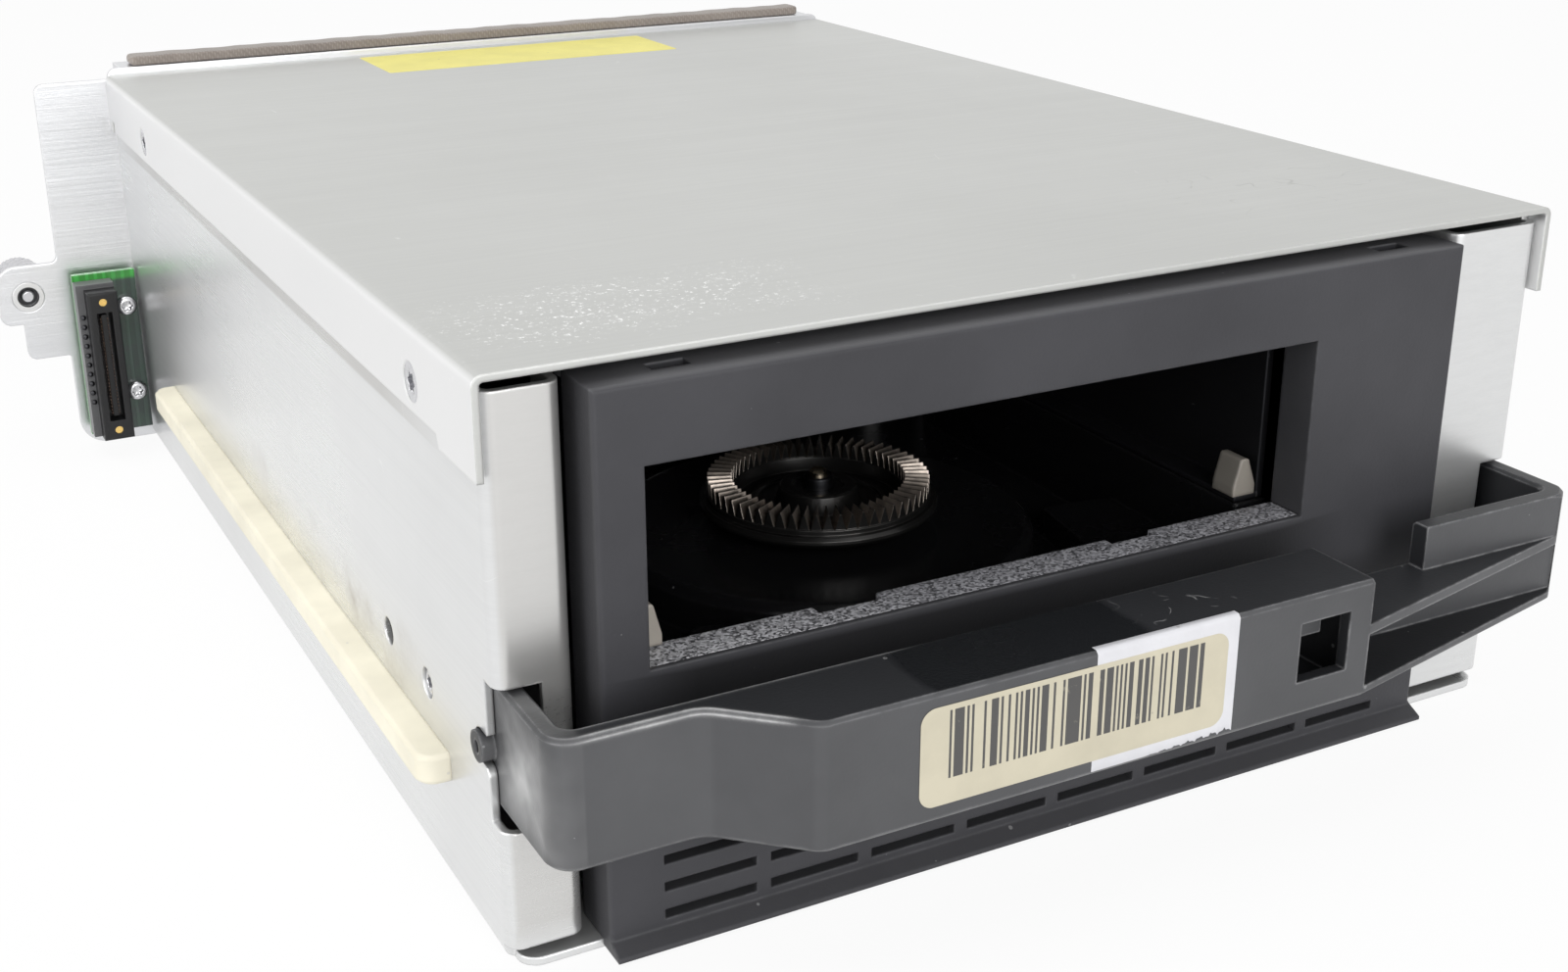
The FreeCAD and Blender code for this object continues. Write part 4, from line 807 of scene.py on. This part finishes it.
# %% [markdown]
# ## Room for the labels on the grip
# Two papers are stuck on the grip's front face, which is also the frontmost face of the whole drive.
# The copy's face steps back by an eighth of a millimetre, so that the papers lie on it and still end
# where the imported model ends.

# %% Step the grip's face back
face_limit, paper_room = -0.14549, 0.00012
grip = copies["pull_handle"].data
grip_points = np.empty(len(grip.vertices) * 3)
grip.vertices.foreach_get("co", grip_points)
grip_points = grip_points.reshape(-1, 3)
on_face = grip_points[:, 1] < face_limit
grip_points[on_face, 1] += paper_room
grip.vertices.foreach_set("co", grip_points.ravel())
grip.update()
print(on_face.sum(), "points of the grip's face stepped back")

# %% [markdown]
# ## Screws
# The drive is held together by small six-lobe screws. Modelling one as a cylinder with a hole looks
# like a peg; what the eye knows is the lobed recess, the rolled edge of the head and its seat. So a
# screw is one grid: rings that start in the middle of the recess, climb its lobed wall, go out over
# the head and run down the shank. The same rings with another head serve sunk and round-headed ones.

# %% Screw surface
def screw_rings(head, height, length, sunk):
    """Rings of a screw: radius r (1 + lobe cos 6t), at heights measured outwards from its seat."""
    recess, top = head * 0.46, 0.0 if sunk else height
    rows = [(0, top - 1.1, 0), (recess * 0.7, top - 1.0, 0.10), (recess, top - 0.9, 0.17),
            (recess, top - 0.06, 0.17), (recess * 1.1, top, 0.14)]
    if sunk:
        rows += [(head - 0.2, top, 0), (head, top - 0.1, 0), (head, top - 0.14, 0), (1.45, -height, 0)]
    else:
        arc = np.radians([62, 40, 18, 0])
        rows += [(head * 0.62, top, 0)]
        rows += [(head * (0.62 + 0.38 * np.cos(a)), top * (0.42 + 0.58 * np.sin(a)), 0) for a in arc]
        rows += [(head, 0, 0), (1.45, 0, 0)]
    rows += [(1.45, -length + 0.4, 0), (1.0, -length, 0), (0, -length, 0)]
    r, h, lobe = np.array(rows, float).T[:, :, None]
    t = np.linspace(0, 2 * np.pi, 48, endpoint=False)
    return revolved(r * (1 + lobe * np.cos(6 * t)), h, 48)


sides = (-1, 1)
screw_groups = {
    "cover_screws": (2.85, 0.9, 5.1, True, {"+-"[x < 0] + "x": [(x * 90.93, y, 77.0) for y in (24.7, 202.0)]
                                            for x in sides}),
    "handle_screws": (2.2, 1.0, 7.0, False, {"+-"[x < 0] + "x": [(x * 88.6, 30.6, 29.9)] for x in sides}),
    "rear_plate_screws": (2.7, 1.7, 5.0, False, {"+y": [(x * 83.2, 242.2, z) for x in sides
                                                        for z in (16, 68)]}),
    "board_screws": (2.3, 1.8, 6.4, False, {"-y": [(-93.2, 236.4, z) for z in (13.3, 33.7)]}),
    "drive_mount_screws": (2.85, 1.15, 9.1, True, {"-z": [(x, y, 0.07) for x in (-65.65, 58.45)
                                                          for y in (45.0, 170.0)]}),
}
for name, (head, height, length, sunk, directions) in screw_groups.items():
    rings = screw_rings(head, height, length, sunk)
    grids = np.concatenate([stood(rings / 1000, in_frame(*np.array(spots, float).T), out)
                            for out, spots in directions.items()])
    dressed(grid_piece(name + "_lobed", grids, closed_columns=True), bright_zinc,
            "canister", "fastener_steel", name)
    print(name, len(grids))

# %% [markdown]
# ## Knurled captive screw
# The knob at the back is turned by hand, so it is knurled: two families of helical grooves cross and
# leave diamonds. Modelling the grooves as a displaced cylinder keeps them in the silhouette, which a
# bump map doesn't. A coin slot crosses its end, and the shank shows in the ear's hole at the front.

# %% Knob surface
def knob_rings(columns=216):
    """Radius R - d |sin(9t + kh)|^p |sin(9t - kh)|^p on the grip, and a slot sunk where |z| is small."""
    t = np.linspace(0, 2 * np.pi, columns, endpoint=False)
    lower = [(0, -4.7), (1.1, -4.7), (1.45, -4.35), (1.45, 0), (4.6, 0), (4.9, 0.25), (4.9, 1.6), (5.3, 1.6)]
    upper = [(5.3, 10.9), (4.9, 10.9), (4.9, 11.8)]
    h = np.linspace(1.9, 10.6, 36)[:, None]
    diamonds = np.abs(np.sin(9 * t + 1.1 * h)) * np.abs(np.sin(9 * t - 1.1 * h))
    grip = 5.8 - 0.42 * (1 - diamonds ** 0.45)
    cap_r = np.linspace(4.65, 0, 18)[:, None]
    slot = np.clip((0.72 - np.abs(cap_r * np.sin(t))) / 0.14, 0, 1)
    cap = 12.1 - 1.4 * slot
    plain = [np.repeat(np.array(rows, float)[:, :, None], columns, 2) for rows in (lower, upper)]
    radius = np.concatenate([plain[0][:, 0], grip, plain[1][:, 0], np.repeat(cap_r, columns, 1)])
    along = np.concatenate([plain[0][:, 1], np.repeat(h, columns, 1), plain[1][:, 1], cap])
    return revolved(radius, along, columns)


knob_spot = in_frame(ear_axis_x, [245.9], ear_axis_z)
knob = grid_piece("captive_thumbscrew_knurled", stood(knob_rings() / 1000, knob_spot, "+y"),
                  closed_columns=True)
dressed(knob, bright_zinc, "thumbscrew", "fastener_steel", "captive_thumbscrew")
print("knob faces", len(knob.data.polygons))

# %% [markdown]
# ## Drive hub
# The gear that meshes with the cartridge's own has radial teeth on its face, like a crown. A tooth is
# a ridge whose width grows with its distance from the centre, so on a polar grid it is only a height
# that depends on the angle. The columns stand at the angles where a tooth's flanks begin and end,
# which keeps the flanks flat and the crests straight with very few faces.

# %% Crown gear
def crown_gear(teeth=60, root=38.2, tall=2.6):
    """Height z = z0 + tall f(t) on the toothed rings; f rises and falls between a tooth's corner angles."""
    phase = np.array([-0.5, -0.46, -0.40, -0.085, -0.045, 0.045, 0.085, 0.40, 0.46])
    rise = np.array([0, 0, 0.10, 0.93, 1, 1, 0.93, 0.10, 0])
    angles = ((np.arange(teeth)[:, None] + phase) * 2 * np.pi / teeth).ravel()
    rows = [(2.55, 33.8, 0), (8, 33.8, 0), (8, 35.4, 0), (19.2, 35.4, 0), (20.0, 36.2, 0), (20.0, 36.7, 0),
            (19.6, 37.3, 0), (18.8, 37.3, 0), (18.8, 38.1, 0), (18.7, 38.2, 0), (18.55, root, 0),
            (18.55, root, 1), (16.5, root, 1), (14.45, root, 1), (14.45, root, 0), (14.2, root, 0),
            (13.7, 36.0, 0), (11.6, 36.0, 0), (11.4, 36.5, 0), (10.6, 36.5, 0), (10.4, 36.0, 0),
            (7.2, 36.0, 0), (6.5, 38.7, 0), (6.2, 39.0, 0), (4.4, 39.0, 0), (4.2, 38.6, 0), (2.55, 38.6, 0)]
    r, z, toothed = np.array(rows, float).T[:, :, None]
    return revolved(r, z + toothed * tall * np.tile(rise, teeth), None, angles)


hub_spot = in_frame(*hub_axis, [0.0])
gear = grid_piece("drive_hub_crown", stood(crown_gear() / 1000, hub_spot, "+z"), True, True, 22)
dressed(gear, dark_gear, "drive_hub", "gear_plastic", "drive_hub_gear")
stub = revolved([0, 2.5, 2.5, 2.2, 1.2, 1.0, 0], [8.8, 8.8, 40.3, 40.6, 40.6, 40.4, 40.4], 48)
dressed(grid_piece("hub_shaft_turned", stood(stub / 1000, hub_spot, "+z"), closed_columns=True),
        black_oxide, "drive_hub", "shaft_steel", "hub_shaft")
tip = revolved([0, 1.5, 1.5, 1.1, 0], [40.35, 40.35, 41.2, 41.6, 41.6], 32)
dressed(grid_piece("hub_centre_pin", stood(tip / 1000, hub_spot, "+z"), closed_columns=True),
        pale_brass, "drive_hub", "shaft_steel")
print("gear faces", len(gear.data.polygons))

# %% [markdown]
# ## Gasket
# The strip along the rear flange is foam wrapped in conductive cloth. It is a rounded profile carried
# along X: a superellipse, which is nearly a rectangle with soft corners, and which shrinks to a round
# end over the last millimetre. Its top is pressed very slightly uneven, as foam always is.

# %% Gasket surface
x = np.concatenate([-85 + 1.2 * (1 - np.cos(np.linspace(0, np.pi / 2, 6))), np.linspace(-83, 83, 140),
                    85 - 1.2 * (1 - np.cos(np.linspace(np.pi / 2, 0, 6)))])[:, None]
end = np.sqrt(np.clip(1 - np.clip((np.abs(x) - 83.8) / 1.2, 0, 1) ** 2, 0, 1))
t = np.linspace(0, 2 * np.pi, 48, endpoint=False)
pressed = 0.05 * (np.sin(0.31 * x) + np.sin(0.83 * x + 1)) - 0.10
y = 245 + 3.2 * end * np.sign(np.cos(t)) * np.abs(np.cos(t)) ** 0.35
half_z = 1.1 + np.where(np.sin(t) > 0, pressed, 0)
z = 87.5 + end * half_z * np.sign(np.sin(t)) * np.abs(np.sin(t)) ** 0.35
gasket = grid_piece("gasket_strip", in_frame(x, y, z), closed_columns=True)
dressed(gasket, gasket_cloth, "canister", "gasket_cloth", "emi_gasket")
print("gasket faces", len(gasket.data.polygons))

# %% [markdown]
# ## Papers
# A label is a thin plate with rounded corners. On a grid, each ring is the outline shrunk towards the
# middle, and the last rings roll over the edge, which is what catches the light. A plain cream label
# with uneven bars covers a torn white one, which folds over the grip's top edge. The notice sticker
# on the cover is left bare yellow.

# %% Label sheets
def sheet_rings(half_u, half_v, corner, thick, columns=96):
    """Outline u = (a - r) sign(cos t) + r cos t, v likewise, shrunk ring by ring; height h over it."""
    t = (np.arange(columns) + 0.5) * 2 * np.pi / columns
    u = (half_u - corner) * np.sign(np.cos(t)) + corner * np.cos(t)
    v = (half_v - corner) * np.sign(np.sin(t)) + corner * np.sin(t)
    inset = np.array([1, 0.5, 0.1, 0.02, 0, 0, 1])[:, None] * min(half_u, half_v)
    h = np.array([thick, thick, thick, thick, thick * 0.6, 0, 0])[:, None]
    share_u, share_v = np.clip(1 - inset / half_u, 0, 1), 1 - inset / half_v
    share_u[[0, -1]] = 0
    return np.stack(np.broadcast_arrays(u * share_u, v * share_v, h), -1)


label = sheet_rings(25.25, 7.3, 2.3, 0.07)
label = in_frame(label[..., 0] - 16.75, -24.93 - label[..., 2], label[..., 1] + 32.0)
dressed(grid_piece("cream_label", label, closed_columns=True), cream_paper, "canister", "handle_plastic")
sticker = sheet_rings(35.35, 11.9, 0.8, 0.08)
sticker = in_frame(sticker[..., 0] + 1.15, sticker[..., 1] + 225.4, 85.0 + sticker[..., 2])
dressed(grid_piece("yellow_sticker", sticker, closed_columns=True), yellow_paper, "canister", "shell_steel")


def folded_label(left, right, columns=80):
    """A profile up the grip's face and over its top edge, carried along X; its lower edge is torn."""
    path = np.array([(-24.94, 23.0), (-24.94, 24.2), (-24.94, 32.0), (-24.94, 40.72), (-24.86, 40.95),
                     (-24.50, 41.32), (-24.30, 41.38), (-23.5, 41.38)])
    back = path[::-1] + [0.035, -0.035]
    loop = np.concatenate([path, back])[:, None, :]
    x = np.linspace(left, right, columns)
    ends = np.minimum(1, np.minimum(np.arange(columns), np.arange(columns)[::-1]))[None, :, None]
    middle = np.concatenate([(path + back[::-1]) / 2, (path + back[::-1])[::-1] / 2])[:, None, :]
    y, z = np.moveaxis(middle + (loop - middle) * ends, -1, 0)
    share = np.clip((x - left) / (right - left) - 0.35, 0, 1)
    torn = share * (0.9 + 0.5 * np.sin(2.9 * x) + 0.35 * np.sin(7.7 * x + 1) + 0.25 * np.sin(17.3 * x))
    return in_frame(x, y, np.where(z < 25, z + torn, z))


dressed(grid_piece("white_label", folded_label(-14.2, 10.3), closed_rows=True, degrees=60), white_paper,
        "canister", "handle_plastic")
print("labels and sticker")

# %% [markdown]
# ## Docking connector details
# The blind-mate connector has a row of solder tails beside its shroud, and a tongue ribbed with
# contact leaves inside its mouth. Tails are low domes; the ribbed tongue is a square profile whose
# half width steps in and out as it is carried up the connector.

# %% Tails and leaves
rise = np.linspace(0, np.pi / 2, 6)
dome = revolved(0.62 * np.cos(rise), 0.55 * np.sin(rise), 16)
dome = np.concatenate([[np.zeros((16, 3))], dome])
tail_spots = in_frame(-103.35, 232.2, np.linspace(13, 33, 10))
dressed(grid_piece("solder_tails", stood(dome / 1000, tail_spots, "-y"), closed_columns=True), black_oxide,
        "canister", "contact_gold")
z = np.linspace(10.4, 33.6, 233)[:, None]
wide = 0.64 + 0.2 * (np.sin(2 * np.pi * z / 0.8) > 0)
wide[[0, -1]] = 0
corner_x, corner_y = np.array([-1, 1, 1, -1]), np.array([229.5, 229.5, 233.5, 233.5])
leaves = grid_piece("contact_leaves", in_frame(-99.3 + corner_x * wide, np.where(wide > 0, corner_y, 231.5), z),
                    closed_columns=True)
dressed(leaves, dull_bronze, "canister", "contact_gold")
print("tails", len(tail_spots), "and leaf faces", len(leaves.data.polygons))

# %% [markdown]
# ## Floor
# The floor is plain and white. Where the camera or a mirror sees it, some of its light is added
# as a glow, so that it stays white without brighter lamps; the rest is lit, which keeps the object's
# soft contact shadow.

# %% Floor
floor = bpy.data.objects.new("studio_floor", bpy.data.meshes.new("studio_floor"))
floor_reach, floor_z = 6, -0.0002
floor_corners = [(x * floor_reach, y * floor_reach, floor_z) for x, y in ((-1, -1), (1, -1), (1, 1), (-1, 1))]
floor.data.from_pydata(floor_corners, [], [(0, 1, 2, 3)])
scene.collection.objects.link(floor)
white_floor, floor_tree, floor_shader = new_material("floor_white", roughness=0.9)
cloudy = noise(floor_tree, object_place(floor_tree), 3, 2, 0.5)
floor_tone = blend(floor_tree, cloudy, (0.88, 0.88, 0.88), (0.90, 0.90, 0.90))
feed(floor_tree, floor_shader.inputs["Base Color"], floor_tone)
floor_shader.inputs["Specular IOR Level"].default_value = 0.0
glow = node(floor_tree, "Emission", {"Color": (1.0, 1.0, 1.0), "Strength": 1.0}).outputs[0]
lit_and_glow = mixed_shaders(floor_tree, maths(floor_tree, "MULTIPLY", seen_directly(floor_tree), 0.93),
                             floor_shader.outputs[0], glow)
floor_tree.links.new(lit_and_glow, floor_tree.nodes["Material Output"].inputs[0])
floor.data.materials.append(white_floor)
